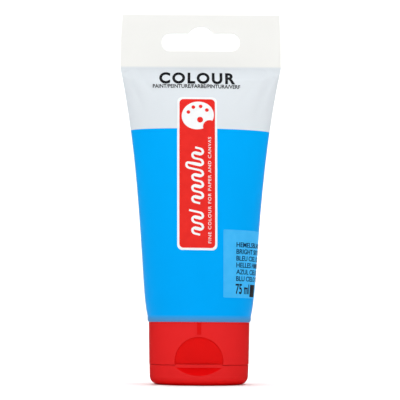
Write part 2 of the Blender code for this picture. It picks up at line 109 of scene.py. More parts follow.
def use(piece, mode="OBJECT"):
    """Makes a piece the one that operators act on."""
    deselect()
    piece.select_set(True)
    bpy.context.view_layer.objects.active = piece
    if mode == "EDIT":
        bpy.ops.object.mode_set(mode="EDIT")
    return piece


def pick(kind, test):
    """In edit mode, selects the points, edges or faces (VERT, EDGE or FACE) that pass a test."""
    bpy.ops.mesh.select_mode(type=kind)
    bpy.ops.mesh.select_all(action="DESELECT")
    mesh = bmesh.from_edit_mesh(bpy.context.object.data)
    picked = {"VERT": mesh.verts, "EDGE": mesh.edges, "FACE": mesh.faces}[kind]
    count = 0
    for item in picked:
        if test(item):
            item.select = True
            count += 1
    mesh.select_flush_mode()
    bmesh.update_edit_mesh(bpy.context.object.data)
    return count


def middle(edge):
    """The point halfway along an edge."""
    return (edge.verts[0].co + edge.verts[1].co) / 2


def apply_modifiers(piece):
    """Puts every modifier of a piece into its mesh."""
    use(piece)
    for name in [step.name for step in piece.modifiers]:
        bpy.ops.object.modifier_apply(modifier=name)


def cut(piece, cutter, operation="DIFFERENCE"):
    """Cuts or joins with a second object, which is removed afterwards."""
    use(piece)
    step = piece.modifiers.new("cut", "BOOLEAN")
    step.operation = operation
    step.solver = "EXACT"
    step.object = cutter
    bpy.ops.object.modifier_apply(modifier="cut")
    bpy.data.objects.remove(cutter)


def soften(piece, width, segments=2, angle=30):
    """Rounds every edge sharper than an angle, as a mould does."""
    step = piece.modifiers.new("soft edges", "BEVEL")
    step.width = width
    step.segments = segments
    step.limit_method = "ANGLE"
    step.angle_limit = math.radians(angle)
    step.use_clamp_overlap = True
    step.harden_normals = False
    apply_modifiers(piece)


def smooth(piece, angle=35):
    """Shades a piece smooth, and keeps edges sharper than an angle."""
    use(piece)
    bpy.ops.object.shade_smooth_by_angle(angle=math.radians(angle))


def settle(piece):
    """Puts the place, turn and scale of an object into its mesh."""
    use(piece)
    bpy.ops.object.transform_apply(location=True, rotation=True, scale=True)


def tidy_mesh(piece, distance=0.000002):
    """Merges doubled points and turns all faces outwards."""
    use(piece, "EDIT")
    bpy.ops.mesh.select_all(action="SELECT")
    bpy.ops.mesh.remove_doubles(threshold=distance)
    bpy.ops.mesh.normals_make_consistent(inside=False)
    bpy.ops.object.mode_set(mode="OBJECT")


def triangles(piece):
    """How many triangles a piece comes to."""
    return sum(len(face.vertices) - 2 for face in piece.data.polygons)


def say(piece):
    """Prints the size of a piece and its triangles."""
    size = [round(side / MM, 1) for side in piece.dimensions]
    print(f"{piece.name}: {size} mm, {triangles(piece)} triangles")


# %% [markdown]
# ## Camera, floor and light
#
# The tube is seen the way a shop shows it: straight from the front, from low down, through a long lens, on a
# pale sweep that runs up behind it. The camera looks slightly up, so the rings round the tube bow upwards
# towards the tail. It stands a hair to the right and is tilted by a third of a degree, because a tube on its
# cap is never quite upright.

# %% Camera
CAMERA_DISTANCE = 0.650
CAMERA_HEIGHT = 0.0223
AIM_HEIGHT = 0.0713
CAMERA_SIDE = 0.00033
LENS = 150.8
ROLL = -0.33

deselect()
bpy.ops.object.camera_add(location=(CAMERA_SIDE, -CAMERA_DISTANCE, CAMERA_HEIGHT))
camera = bpy.context.object
camera.name = "camera"
camera.data.lens = LENS
pitch = math.atan2(AIM_HEIGHT - CAMERA_HEIGHT, CAMERA_DISTANCE)
camera.rotation_euler = (math.pi / 2 + pitch, math.radians(ROLL), 0.0)
camera.data.clip_start = 0.01
bpy.context.scene.camera = camera
print("camera looks up by", round(math.degrees(pitch), 2), "degrees")

# %% [markdown]
# The floor is one sheet: a plane whose far edge is swung up, as a roll of backdrop paper hangs behind a
# table. Its material is a pale matt paper with a faint mottle.

# %% Floor
FLOOR_HALF = 1.3
SWEEP_RADIUS = 0.8
SWEEP_START = 1.2
PAPER_GREY = (0.93, 0.93, 0.93)
PAPER_WHITE = (0.96, 0.96, 0.96)


def paper_material():
    """Pale matt backdrop paper."""
    made = bpy.data.materials.new("backdrop_paper")
    made.use_nodes = True
    tree = made.node_tree
    shader = tree.nodes["Principled BSDF"]
    place = tree.nodes.new("ShaderNodeTexCoord")
    mottle = tree.nodes.new("ShaderNodeTexNoise")
    mottle.inputs["Scale"].default_value = 3.0
    ramp = tree.nodes.new("ShaderNodeValToRGB")
    ramp.color_ramp.elements[0].color = (*PAPER_GREY, 1.0)
    ramp.color_ramp.elements[1].color = (*PAPER_WHITE, 1.0)
    tree.links.new(place.outputs["Object"], mottle.inputs["Vector"])
    tree.links.new(mottle.outputs["Fac"], ramp.inputs["Fac"])
    tree.links.new(ramp.outputs["Color"], shader.inputs["Base Color"])
    shader.inputs["Roughness"].default_value = 0.9
    shader.inputs["Specular IOR Level"].default_value = 0.1
    return made


deselect()
bpy.ops.mesh.primitive_plane_add(size=2 * FLOOR_HALF, location=(0.0, SWEEP_START - FLOOR_HALF, 0.0))
floor = bpy.context.object
floor.name = "backdrop"
use(floor, "EDIT")
pick("EDGE", lambda edge: min(v.co.y for v in edge.verts) > FLOOR_HALF * 0.99)
bpy.ops.mesh.spin(
    steps=24,
    angle=-math.pi / 2,
    center=(0.0, SWEEP_START, SWEEP_RADIUS),
    axis=(1.0, 0.0, 0.0),
)
bpy.ops.mesh.extrude_region_move(TRANSFORM_OT_translate={"value": (0.0, 0.0, 2 * FLOOR_HALF)})
bpy.ops.object.mode_set(mode="OBJECT")
settle(floor)
smooth(floor)
floor.data.materials.append(paper_material())
print("backdrop:", [round(side, 2) for side in floor.dimensions], "m")

# %% [markdown]
# Four soft boxes light the tube: a key from the left, a weaker fill from the right, one overhead and one on
# the backdrop. The surround is a white room with a dim ceiling. Its white walls keep the sides of the tube in
# their own colour, where a dark room would draw grey edges on them, and the dim ceiling leaves the work from
# above to the soft boxes. The plain view transform keeps strong print colours strong.

# %% White walls and a dim ceiling
scene = bpy.context.scene
scene.view_settings.view_transform = "Standard"
SURROUND_LOW = 1.0  # strength of the white walls, near the horizon and below it
SURROUND_HIGH = 0.12  # strength of the ceiling
WALLS_END = 0.18  # how steeply up, as the height of a direction of length 1, the walls begin to fade
CEILING_START = 0.42

scene.world = bpy.data.worlds.new("studio")
scene.world.use_nodes = True
surround_tree = scene.world.node_tree
surround = surround_tree.nodes["Background"]
surround.inputs["Color"].default_value = (1.0, 1.0, 1.0, 1.0)
look = surround_tree.nodes.new("ShaderNodeTexCoord")
look_split = surround_tree.nodes.new("ShaderNodeSeparateXYZ")
look_up = surround_tree.nodes.new("ShaderNodeMapRange")
look_up.interpolation_type = "SMOOTHSTEP"
look_up.inputs["From Min"].default_value = WALLS_END
look_up.inputs["From Max"].default_value = CEILING_START
look_up.inputs["To Min"].default_value = SURROUND_LOW
look_up.inputs["To Max"].default_value = SURROUND_HIGH
surround_tree.links.new(look.outputs["Generated"], look_split.inputs["Vector"])
surround_tree.links.new(look_split.outputs["Z"], look_up.inputs["Value"])
surround_tree.links.new(look_up.outputs["Result"], surround.inputs["Strength"])
print("surround strength from", SURROUND_LOW, "at the walls to", SURROUND_HIGH, "overhead")

# %% Soft boxes


def soft_box(name, place, size, watts, aim=(0.0, 0.0, 0.07)):
    """A square studio light, turned towards a point."""
    deselect()
    bpy.ops.object.light_add(type="AREA", location=place)
    light = bpy.context.object
    light.name = name
    light.data.shape = "SQUARE"
    light.data.size = size
    light.data.energy = watts
    light.rotation_euler = (Vector(aim) - Vector(place)).to_track_quat("-Z", "Y").to_euler()
    return light


soft_box("key_light", (-0.9, -1.5, 1.1), 1.2, 6.6)
soft_box("fill_light", (1.0, -1.4, 0.7), 1.2, 3.2)
soft_box("overhead_light", (0.0, 0.3, 2.0), 2.0, 19.0, aim=(0.0, 0.3, 0.0))
soft_box("backdrop_light", (0.0, 0.2, 1.9), 1.6, 28.0, aim=(0.0, 1.4, 0.2))

# %% [markdown]
# ## The sleeve
#
# The sleeve is a tube of plastic film. Its maker fuses one end to the head, fills it through the other end,
# and then presses that end flat and welds it. The film doesn't stretch, so every section has the same girth:
# a circle at the shoulder, wider and shallower ovals above it, and at the weld two walls lying on each other.
#
# One circle is grown ring by ring, with extrude and resize, first down the inside from the top of the cavity,
# round the edge at the bottom, and then up the outside to the tail. So the film has its real wall.

# %% The rule of the sections
WALL = 0.5 * MM
FILM_END = CAP_RIM + 0.04 * MM  # the film reaches down to the cap's rim
CURL = 1.2 * MM  # radius of the rounded lower end
CURL_START = 40  # its angle at the film's edge, in degrees
CURL_TOP = SLEEVE_END + CURL * math.cos(math.radians(CURL_START))
TAIL = 20.8 * MM  # height of the welded strip
TAIL_TAPER = 0.6 * MM  # how much narrower each side of the tail gets towards its top
STEADY_WIDENING = 0.62  # the part of the widening that grows evenly with height
WELD_PINCH = 3.3  # how late the rest comes, as a power of the height
SWELL = 0.07  # the paint pushes the film out above the head
SWELL_LENGTH = 0.05
WELD_SQUARENESS = 6.0
SQUARING_START = 0.94  # as a share of the height from the head to the weld
SQUARING_LENGTH = 0.06
GIRTH_POINTS = 96

WELD_START = TUBE_TOP - TAIL


def section_curve(half_x, half_y, squareness, count):
    """Points round one section, from the back's middle past -X to the front's middle and back past +X."""
    angle = np.linspace(-math.pi, math.pi, count + 1)
    x = half_x * np.sin(angle)
    rest = np.maximum(0.0, 1.0 - np.abs(np.sin(angle)) ** squareness) ** (1.0 / squareness)
    return x, -half_y * rest * np.sign(np.cos(angle))


def girth(half_x, half_y, squareness):
    """The length once round a section."""
    x, y = section_curve(half_x, half_y, squareness, GIRTH_POINTS)
    return float(np.sum(np.hypot(np.diff(x), np.diff(y))))


def share_at(height):
    """How far up a height is, from 0 at the head to 1 at the weld."""
    return min(1.0, max(0.0, (height - ROUND_END) / (WELD_START - ROUND_END)))


def squareness_at(height):
    """2 is an ellipse. Towards the weld the faces get flatter, so the welded film has one thickness."""
    near = min(1.0, max(0.0, (share_at(height) - SQUARING_START) / SQUARING_LENGTH))
    return 2.0 + (WELD_SQUARENESS - 2.0) * near * near * (3 - 2 * near)


@cache
def half_sizes(height):
    """Half the sleeve's width and depth at a height above the round end."""
    share = share_at(height)
    widening = STEADY_WIDENING * share + (1 - STEADY_WIDENING) * share**WELD_PINCH
    widening += SWELL * (1 - share) * (1 - math.exp(-share / SWELL_LENGTH))
    half_x = SLEEVE_RADIUS * (1 + (math.pi / 2 - 1) * widening)
    full = girth(SLEEVE_RADIUS, SLEEVE_RADIUS, 2.0)
    low, high = WALL, SLEEVE_RADIUS
    for _ in range(30):
        half_y = (low + high) / 2
        if girth(half_x, half_y, squareness_at(height)) > full:
            high = half_y
        else:
            low = half_y
    if height > WELD_START:
        half_x -= TAIL_TAPER * max(0.0, (height - WELD_START - TAIL / 2) / (TAIL / 2))
    return half_x, low


# The rule is checked against the solid: its own widest points at some heights.
solid = np.array([v.co for v in nodes["sleeve"].data.vertices])
for height in (40 * MM, 70 * MM, 100 * MM, 120 * MM):
    ring_z = solid[np.argmin(np.abs(solid[:, 2] - height)), 2]
    ring = solid[np.abs(solid[:, 2] - ring_z) < 0.01 * MM]
    mine = half_sizes(ring_z)
    print(
        f"at {ring_z / MM:.1f} mm: solid {ring[:, 0].max() / MM:.2f} x {ring[:, 1].max() / MM:.2f},",
        f"rule {mine[0] / MM:.2f} x {mine[1] / MM:.2f}",
    )

# %% Grow the sleeve
AROUND = 192
CURL_STEPS = 6
FILLED_STEPS = 110
CAVITY_STEPS = 30
TAIL_STEPS = 8
RING_CROWDING = 0.11  # how much closer together the rings are at the two ends
CAVITY_END = ROUND_END + 0.985 * (WELD_START - ROUND_END)  # the cavity closes just below the weld


def curl_rings(inset):
    """The rounded lower end, from the film's edge up: (half width, half depth, height)."""
    rings = []
    for step in range(CURL_STEPS):
        angle = math.radians(CURL_START + (90 - CURL_START) * step / CURL_STEPS)
        radius = SLEEVE_RADIUS - CURL * (1 - math.sin(angle)) - inset
        height = CURL_TOP - (CURL_TOP - FILM_END) * math.cos(angle) / math.cos(math.radians(CURL_START))
        rings.append((radius, radius, height))
    return rings


def filled_rings(inset, top, steps):
    """The filled part, with rings closer together at both ends: (half width, half depth, height)."""
    rings = []
    for step in range(steps + 1):
        even = step / steps
        height = ROUND_END + (top - ROUND_END) * (even - RING_CROWDING * math.sin(2 * math.pi * even))
        half_x, half_y = half_sizes(height)
        rings.append((half_x - inset, max(half_y - inset, WALL), height))
    return rings


tail_rings = []
for step in range(1, TAIL_STEPS + 1):
    height = WELD_START + TAIL * step / TAIL_STEPS
    tail_rings.append((*half_sizes(height), height))
inside = curl_rings(WALL) + filled_rings(WALL, CAVITY_END, CAVITY_STEPS)
outside = curl_rings(0.0) + filled_rings(0.0, WELD_START, FILLED_STEPS) + tail_rings
path = inside[::-1] + outside

deselect()
bpy.ops.mesh.primitive_circle_add(
    vertices=AROUND, radius=1.0, location=(0.0, 0.0, 0.0), fill_type="NOTHING"
)
sleeve = bpy.context.object
sleeve.name = "film_sleeve"
use(sleeve, "EDIT")
bpy.ops.mesh.select_all(action="SELECT")
bpy.ops.transform.resize(value=(path[0][0], path[0][1], 1.0), center_override=(0.0, 0.0, 0.0))
bpy.ops.transform.translate(value=(0.0, 0.0, path[0][2]))
bpy.ops.mesh.edge_face_add()
bpy.ops.mesh.select_mode(type="EDGE")
bpy.ops.mesh.extrude_edges_move()
for last, ring in zip(path, path[1:]):
    if last is not path[0]:
        bpy.ops.mesh.extrude_edges_move()
    bpy.ops.transform.translate(value=(0.0, 0.0, ring[2] - last[2]))
    bpy.ops.transform.resize(
        value=(ring[0] / last[0], ring[1] / last[1], 1.0), center_override=(0.0, 0.0, ring[2])
    )
bpy.ops.mesh.edge_face_add()
bpy.ops.object.mode_set(mode="OBJECT")
say(sleeve)

# %% [markdown]
# Two things are finished by moving points in code, because no operator makes them. Near the weld the oval
# sections get squarer, so that the welded strip keeps the thickness of two films out to its folded edges. And
# where the round film is forced flat, faint creases run down and inwards from the two ends of the weld.

# %% Flatten the weld and crease the film
CREASES = [
    # start and end on the front, as distance from the middle and height, then depth and half width
    ((29.0 * MM, 121.8 * MM), (21.0 * MM, 103.0 * MM), 0.45 * MM, 1.5 * MM),
    ((25.0 * MM, 122.0 * MM), (14.0 * MM, 106.0 * MM), 0.28 * MM, 1.3 * MM),
    ((30.0 * MM, 119.0 * MM), (26.5 * MM, 100.0 * MM), 0.28 * MM, 1.4 * MM),
]


def crease_depth(across, height):
    """How far the film is pushed in at a place, by all the creases."""
    depth = 0.0
    for (x0, z0), (x1, z1), most, half in CREASES:
        along = (across - x0) * (x1 - x0) + (height - z0) * (z1 - z0)
        along /= (x1 - x0) ** 2 + (z1 - z0) ** 2
        inside_line = min(1.0, max(0.0, along))
        off = math.hypot(across - x0 - inside_line * (x1 - x0), height - z0 - inside_line * (z1 - z0))
        if 0 <= along <= 1:  # full soon after the start, and fading out slowly towards the end
            fade = math.sin(math.pi * min(1.0, max(0.0, along * 0.85 + 0.15))) ** 0.8
            depth += most * fade * math.exp(-((off / half) ** 2))
    return depth


moved = 0
for point in sleeve.data.vertices:
    x, y, z = point.co
    if z < CAP_RIM or z <= ROUND_END:
        continue
    half_x, half_y = half_sizes(z)
    if (x / half_x) ** 2 + (y / half_y) ** 2 < 0.995:
        continue  # the inner wall
    squareness = squareness_at(z)
    deep = half_y * max(0.0, 1.0 - min(1.0, abs(x) / half_x) ** squareness) ** (1.0 / squareness)
    if z < WELD_START:
        deep -= min(crease_depth(abs(x), z), 0.5 * deep)
    point.co.y = math.copysign(deep, y)
    moved += 1
print("points placed:", moved)

# %% [markdown]
# The hang slot is punched through the weld in the shape that shop hooks fit: a long slot with round ends and
# a round bump over its middle. The punch is a block with its ends rounded, joined to a cylinder whose lower
# part is pressed flat, and the two corners where they meet are rounded too.

# %% Punch the hang slot
SLOT_WIDTH = 30.5 * MM
SLOT_HEIGHT = 7.0 * MM
SLOT_END_RADIUS = 3.2 * MM
SLOT_DROP = 10.85 * MM  # from the tail's top edge to the slot's middle
BUMP_RADIUS = 5.6 * MM
BUMP_RISE = 6.2 * MM
BUMP_FILLET = 1.2 * MM
PUNCH = 4.0 * MM  # the punch's reach through the film

slot_z = TUBE_TOP - SLOT_DROP
slot_top = slot_z + SLOT_HEIGHT / 2
bump_z = slot_z + BUMP_RISE - BUMP_RADIUS
corner_x = math.sqrt(BUMP_RADIUS**2 - (slot_top - bump_z) ** 2)

deselect()
bpy.ops.mesh.primitive_cylinder_add(
    vertices=96,
    radius=BUMP_RADIUS,
    depth=PUNCH,
    location=(0.0, 0.0, bump_z),
    rotation=(math.pi / 2, 0.0, 0.0),
)
bump_punch = bpy.context.object
settle(bump_punch)
use(bump_punch, "EDIT")
pick("VERT", lambda point: point.co.z < slot_z)
bpy.ops.transform.resize(value=(1.0, 1.0, 0.0), center_override=(0.0, 0.0, slot_z))
deselect()
bpy.ops.mesh.primitive_cube_add(
    size=1.0, location=(0.0, 0.0, slot_z), scale=(SLOT_WIDTH, PUNCH, SLOT_HEIGHT)
)
slot_punch = bpy.context.object
settle(slot_punch)
use(slot_punch, "EDIT")
pick("EDGE", lambda edge: abs(edge.verts[0].co.y - edge.verts[1].co.y) > PUNCH / 2)
bpy.ops.mesh.bevel(offset=SLOT_END_RADIUS, segments=12)
cut(slot_punch, bump_punch, "UNION")
use(slot_punch, "EDIT")
bpy.ops.mesh.select_all(action="SELECT")
bpy.ops.mesh.remove_doubles(threshold=0.01 * MM)
found = pick(
    "EDGE",
    lambda edge: abs(edge.verts[0].co.y - edge.verts[1].co.y) > PUNCH / 2
    and abs(abs(middle(edge).x) - corner_x) < 0.15 * MM
    and abs(middle(edge).z - slot_top) < 0.15 * MM,
)
bpy.ops.mesh.bevel(offset=BUMP_FILLET, segments=8)
bpy.ops.object.mode_set(mode="OBJECT")
print("corners of the punch rounded:", found)
cut(sleeve, slot_punch)
tidy_mesh(sleeve)
smooth(sleeve, 40)
say(sleeve)

# %% [markdown]
# ## The film's finish
#
# The film is white plastic, printed blue up to a straight edge and white above it. The edge falls a trifle
# towards the right, because the film was rolled up a little askew. The welded tail is left unprinted, a
# little warmer than the white ink. Near the sleeve's rounded end the ink stops short and the colour turns to
# a dull grey blue, where clear film shows the shoulder through it. All of this depends on place, so the
# material reads it from Object coordinates.
#
# Film and cap have a clear skin with a faint tint. Light that leaves at a flat angle goes a longer way
# through it, so the colour deepens towards the outline, as it does on real plastic. The skin hardly mirrors,
# because a mirroring one would draw bright lines there.

# %% Node helpers
SKIN_IOR = 1.02  # so near to air's that the skin doesn't mirror


def new_material(name, roughness, specular=0.5):
    """A material with its tree, its shader and its Object coordinates."""
    made = bpy.data.materials.new(name)
    made.use_nodes = True
    tree = made.node_tree
    shader = tree.nodes["Principled BSDF"]
    shader.inputs["Roughness"].default_value = roughness
    shader.inputs["Specular IOR Level"].default_value = specular
    place = tree.nodes.new("ShaderNodeTexCoord").outputs["Object"]
    return made, tree, shader, place


def deepen(shader, tint):
    """A clear skin with a faint tint. It deepens the colour where one looks along the surface."""
    shader.inputs["Coat Weight"].default_value = 1.0
    shader.inputs["Coat Roughness"].default_value = 0.4
    shader.inputs["Coat IOR"].default_value = SKIN_IOR
    shader.inputs["Coat Tint"].default_value = (*tint, 1.0)


def noise(tree, place, scale, detail=2.0, stretch=None):
    """Noise on a place, with its scale in waves per metre, stretched if asked."""
    if stretch:
        mapping = tree.nodes.new("ShaderNodeMapping")
        mapping.inputs["Scale"].default_value = stretch
        tree.links.new(place, mapping.inputs["Vector"])
        place = mapping.outputs["Vector"]
    made = tree.nodes.new("ShaderNodeTexNoise")
    made.inputs["Scale"].default_value = scale
    made.inputs["Detail"].default_value = detail
    tree.links.new(place, made.inputs["Vector"])
    return made.outputs["Fac"]


def spread(tree, value, low, high, to_low, to_high):
    """Maps a value from one range to another, and holds it there."""
    made = tree.nodes.new("ShaderNodeMapRange")
    for socket, number in zip(("From Min", "From Max", "To Min", "To Max"), (low, high, to_low, to_high)):
        made.inputs[socket].default_value = number
    tree.links.new(value, made.inputs["Value"])
    return made.outputs["Result"]


def blend_colours(tree, factor, first, second):
    """A mix of two colours, each a colour or a socket."""
    made = tree.nodes.new("ShaderNodeMix")
    made.data_type = "RGBA"
    tree.links.new(factor, made.inputs["Factor"])
    for socket, colour in ((made.inputs["A"], first), (made.inputs["B"], second)):
        if isinstance(colour, tuple):
            socket.default_value = (*colour, 1.0)
        else:
            tree.links.new(colour, socket)
    return made.outputs["Result"]


def bump(tree, shader, value, depth, normal=None):
    """A bump of a real depth in metres, on the shader or on another bump."""
    made = tree.nodes.new("ShaderNodeBump")
    made.inputs["Strength"].default_value = 1.0
    made.inputs["Distance"].default_value = depth
    tree.links.new(value, made.inputs["Height"])
    if normal:
        tree.links.new(normal, made.inputs["Normal"])
    tree.links.new(made.outputs["Normal"], shader.inputs["Normal"])
    return made.outputs["Normal"]


# %% Film material
PRINT_EDGE = 98.0 * MM
PRINT_SLANT = 0.010  # how much the print falls towards the right, for each length along the film
BAND_TOP = 26.1 * MM
BLUE_FADE = (30 * MM, 90 * MM)  # the blue gets lighter between these heights
MATT = 0.010  # specular level of a surface that hardly mirrors
BLUE = (0.000, 0.418, 0.985)
BLUE_LOW = (0.000, 0.395, 0.955)
BLUE_LIGHT = (0.000, 0.440, 0.990)
WHITE_INK = (0.765, 0.815, 0.845)
WHITE_INK_LIGHT = (0.785, 0.830, 0.855)
BARE_FILM = (0.950, 0.950, 0.910)
BAND = (0.080, 0.300, 0.600)
FILM_TINT = (0.93, 0.93, 0.94)


def film_material():
    """Printed plastic film: blue, white and bare zones by height."""
    made, tree, shader, place = new_material("printed_film", 0.42, MATT)
    deepen(shader, FILM_TINT)
    split = tree.nodes.new("ShaderNodeSeparateXYZ")
    tree.links.new(place, split.inputs["Vector"])
    height = split.outputs["Z"]
    drift = noise(tree, place, 25.0)
    blue = blend_colours(tree, spread(tree, height, *BLUE_FADE, 0.0, 1.0), BLUE_LOW, BLUE)
    blue = blend_colours(tree, spread(tree, drift, 0.35, 0.65, 0.0, 0.12), blue, BLUE_LIGHT)
    low_band = spread(tree, height, BAND_TOP - 1.4 * MM, BAND_TOP + 0.5 * MM, 1.0, 0.0)
    blue = blend_colours(tree, low_band, blue, BAND)
    white = blend_colours(tree, spread(tree, drift, 0.3, 0.7, 0.0, 1.0), WHITE_INK, WHITE_INK_LIGHT)
    bare = spread(tree, height, WELD_START - 0.3 * MM, WELD_START + 0.6 * MM, 0.0, 1.0)
    white = blend_colours(tree, bare, white, BARE_FILM)
    slanted = tree.nodes.new("ShaderNodeMath")
    slanted.operation = "MULTIPLY_ADD"
    slanted.inputs[1].default_value = PRINT_SLANT
    tree.links.new(split.outputs["X"], slanted.inputs[0])
    tree.links.new(height, slanted.inputs[2])
    edge = spread(tree, slanted.outputs["Value"], PRINT_EDGE - 0.05 * MM, PRINT_EDGE + 0.05 * MM, 0.0, 1.0)
    colour = blend_colours(tree, edge, blue, white)
    tree.links.new(colour, shader.inputs["Base Color"])
    tree.links.new(spread(tree, noise(tree, place, 120.0), 0.3, 0.7, 0.30, 0.38), shader.inputs["Roughness"])
    skin = bump(tree, shader, noise(tree, place, 900.0, 3.0), 0.000012)
    bump(tree, shader, noise(tree, place, 60.0, 2.0, (1.0, 1.0, 0.12)), 0.00006, skin)
    return made


sleeve.data.materials.append(film_material())
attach(sleeve, "tube")
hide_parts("sleeve")
print("sleeve finished with", len(sleeve.data.materials), "material")

# %% [markdown]
# ## The print
#
# Each ink is a thin layer on the film. It is drawn flat, in millimetres, with x along the girth from the
# middle of the front, y as the height and z as the ink's thickness. Then it is sliced, so that it can bend,
# and every point is laid on the film: the section's own length gives its place round the tube. That keeps
# letters true to size where the tube turns away. Near the weld the film turns in sharply, so what lies there
# is sliced finer, or the film would come through the ink. The whole drawing leans and falls by the same hair
# as the blue's edge. All the words are plain words for paint and colours.

# %% Where a flat point lands on the film
INK = 0.04  # thickness of an ink, in the drawing's millimetres
LEVEL_STEP = 0.25 * MM
GIRTH_STEP = 0.25 * MM
TABLE_AROUND = 720

film_heights = np.arange(ROUND_END, WELD_START + LEVEL_STEP, LEVEL_STEP)
film_girths = np.arange(-math.pi * SLEEVE_RADIUS, math.pi * SLEEVE_RADIUS, GIRTH_STEP)
film_table = []
for height in film_heights:
    ring_x, ring_y = section_curve(*half_sizes(float(height)), squareness_at(float(height)), TABLE_AROUND)
    length = np.concatenate(([0.0], np.cumsum(np.hypot(np.diff(ring_x), np.diff(ring_y)))))
    length -= length[len(length) // 2]
    film_table.append(
        np.column_stack((np.interp(film_girths, length, ring_x), np.interp(film_girths, length, ring_y)))
    )
film_table = np.array(film_table)
print("film table:", film_table.shape)


def on_film(along, height):
    """Points on the film, for lengths along the girth and heights."""
    column = np.clip((along - film_girths[0]) / GIRTH_STEP, 0, len(film_girths) - 1.001)
    row = np.clip((height - film_heights[0]) / LEVEL_STEP, 0, len(film_heights) - 1.001)
    left, low = column.astype(int), row.astype(int)
    right_share, high_share = (column - left)[:, None], (row - low)[:, None]
    below = film_table[low, left] * (1 - right_share) + film_table[low, left + 1] * right_share
    above = film_table[low + 1, left] * (1 - right_share) + film_table[low + 1, left + 1] * right_share
    return np.column_stack((below * (1 - high_share) + above * high_share, height))


# %% Slice a drawing and lay it on the film
SLICE_ACROSS = 0.6
SLICE_UP = 1.0
SLICE_UP_FINE = 0.25  # near the weld, where the film turns in sharply
BETWEEN_LAYERS = 0.045 * MM
FIRST_LAYER = 0.020 * MM
PRINT_LEAN = 0.0065  # how much the print leans to the left, for each length upwards
LEAN_PIVOT = 80 * MM  # the height at which the lean moves nothing


def slice_up(piece, up):
    """Slices flat artwork across and up, so that it can bend."""
    corners = np.array([corner[:] for corner in piece.bound_box])
    use(piece, "EDIT")
    bpy.ops.mesh.select_all(action="SELECT")
    bpy.ops.mesh.quads_convert_to_tris(ngon_method="BEAUTY")  # a cut through a hollow outline goes wrong
    for axis, step in ((0, SLICE_ACROSS), (1, up)):
        normal = (1.0, 0.0, 0.0) if axis == 0 else (0.0, 1.0, 0.0)
        place = corners[:, axis].min() + step
        while place < corners[:, axis].max() - step / 4:
            bpy.ops.mesh.select_all(action="SELECT")
            bpy.ops.mesh.bisect(plane_co=tuple(place * n for n in normal), plane_no=normal, threshold=0.0001)
            place += step
    bpy.ops.object.mode_set(mode="OBJECT")


def lay(piece, layer):
    """Lays sliced artwork on the film, on a given layer of ink."""
    flat = np.empty(3 * len(piece.data.vertices))
    piece.data.vertices.foreach_get("co", flat)
    along, height, out = (flat.reshape(-1, 3) * MM).T
    along, height = along - PRINT_LEAN * (height - LEAN_PIVOT), height - PRINT_SLANT * along
    near = 0.2 * MM
    across = on_film(along + near, height) - on_film(along - near, height)
    up = on_film(along, height + near) - on_film(along, height - near)
    outward = np.cross(across, up)
    outward /= np.linalg.norm(outward, axis=1)[:, None]
    lift = FIRST_LAYER + BETWEEN_LAYERS * layer + out
    piece.data.vertices.foreach_set("co", (on_film(along, height) + outward * lift[:, None]).ravel())
    piece.data.update()


def ink_material(name, colour, shade, roughness=0.36):
    """Ink: a colour with a faint drift and the fine grain of the print."""
    made, tree, shader, place = new_material(name, roughness, MATT)
    drift = spread(tree, noise(tree, place, 350.0, 3.0), 0.35, 0.65, 0.0, 1.0)
    tree.links.new(blend_colours(tree, drift, colour, shade), shader.inputs["Base Color"])
    bump(tree, shader, noise(tree, place, 2500.0), 0.000003)
    return made


def printed(piece, name, layer, material, up=SLICE_UP):
    """Finishes one ink layer: sliced, laid on the film, smooth, and moving with the tube."""
    piece.name = name
    slice_up(piece, up)
    lay(piece, layer)
    smooth(piece, 35)
    piece.data.materials.clear()
    piece.data.materials.append(material)
    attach(piece, "tube")
    say(piece)
    return piece


WHITE = ink_material("white_ink", (0.90, 0.915, 0.92), (0.87, 0.885, 0.895))
RED = ink_material("label_red_ink", (0.800, 0.030, 0.024), (0.770, 0.027, 0.022))
BLACK = ink_material("black_ink", (0.010, 0.010, 0.012), (0.018, 0.018, 0.020), 0.42)
NAVY = ink_material("dark_text_ink", (0.006, 0.030, 0.075), (0.010, 0.040, 0.090), 0.42)
PALE_BLUE = ink_material("pale_blue_ink", (0.060, 0.470, 0.905), (0.050, 0.450, 0.890))

# %% [markdown]
# Three kinds of drawing are enough. A plate is a block with rounded corners. Words are a text object made a
# mesh. A brush stroke is a curve whose thickness is the pressure of the brush, pressed flat.

# %% Plates, words and brush strokes


def plate(low, high, rounding):
    """A flat plate between two corners in the drawing."""
    deselect()
    centre = ((low[0] + high[0]) / 2, (low[1] + high[1]) / 2, INK / 2)
    size = (high[0] - low[0], high[1] - low[1], INK)
    bpy.ops.mesh.primitive_cube_add(size=1.0, location=centre, scale=size)
    made = bpy.context.object
    settle(made)
    use(made, "EDIT")
    pick("EDGE", lambda edge: abs(edge.verts[0].co.z - edge.verts[1].co.z) > INK / 2)
    bpy.ops.mesh.bevel(offset=rounding, segments=8)
    bpy.ops.object.mode_set(mode="OBJECT")
    return made


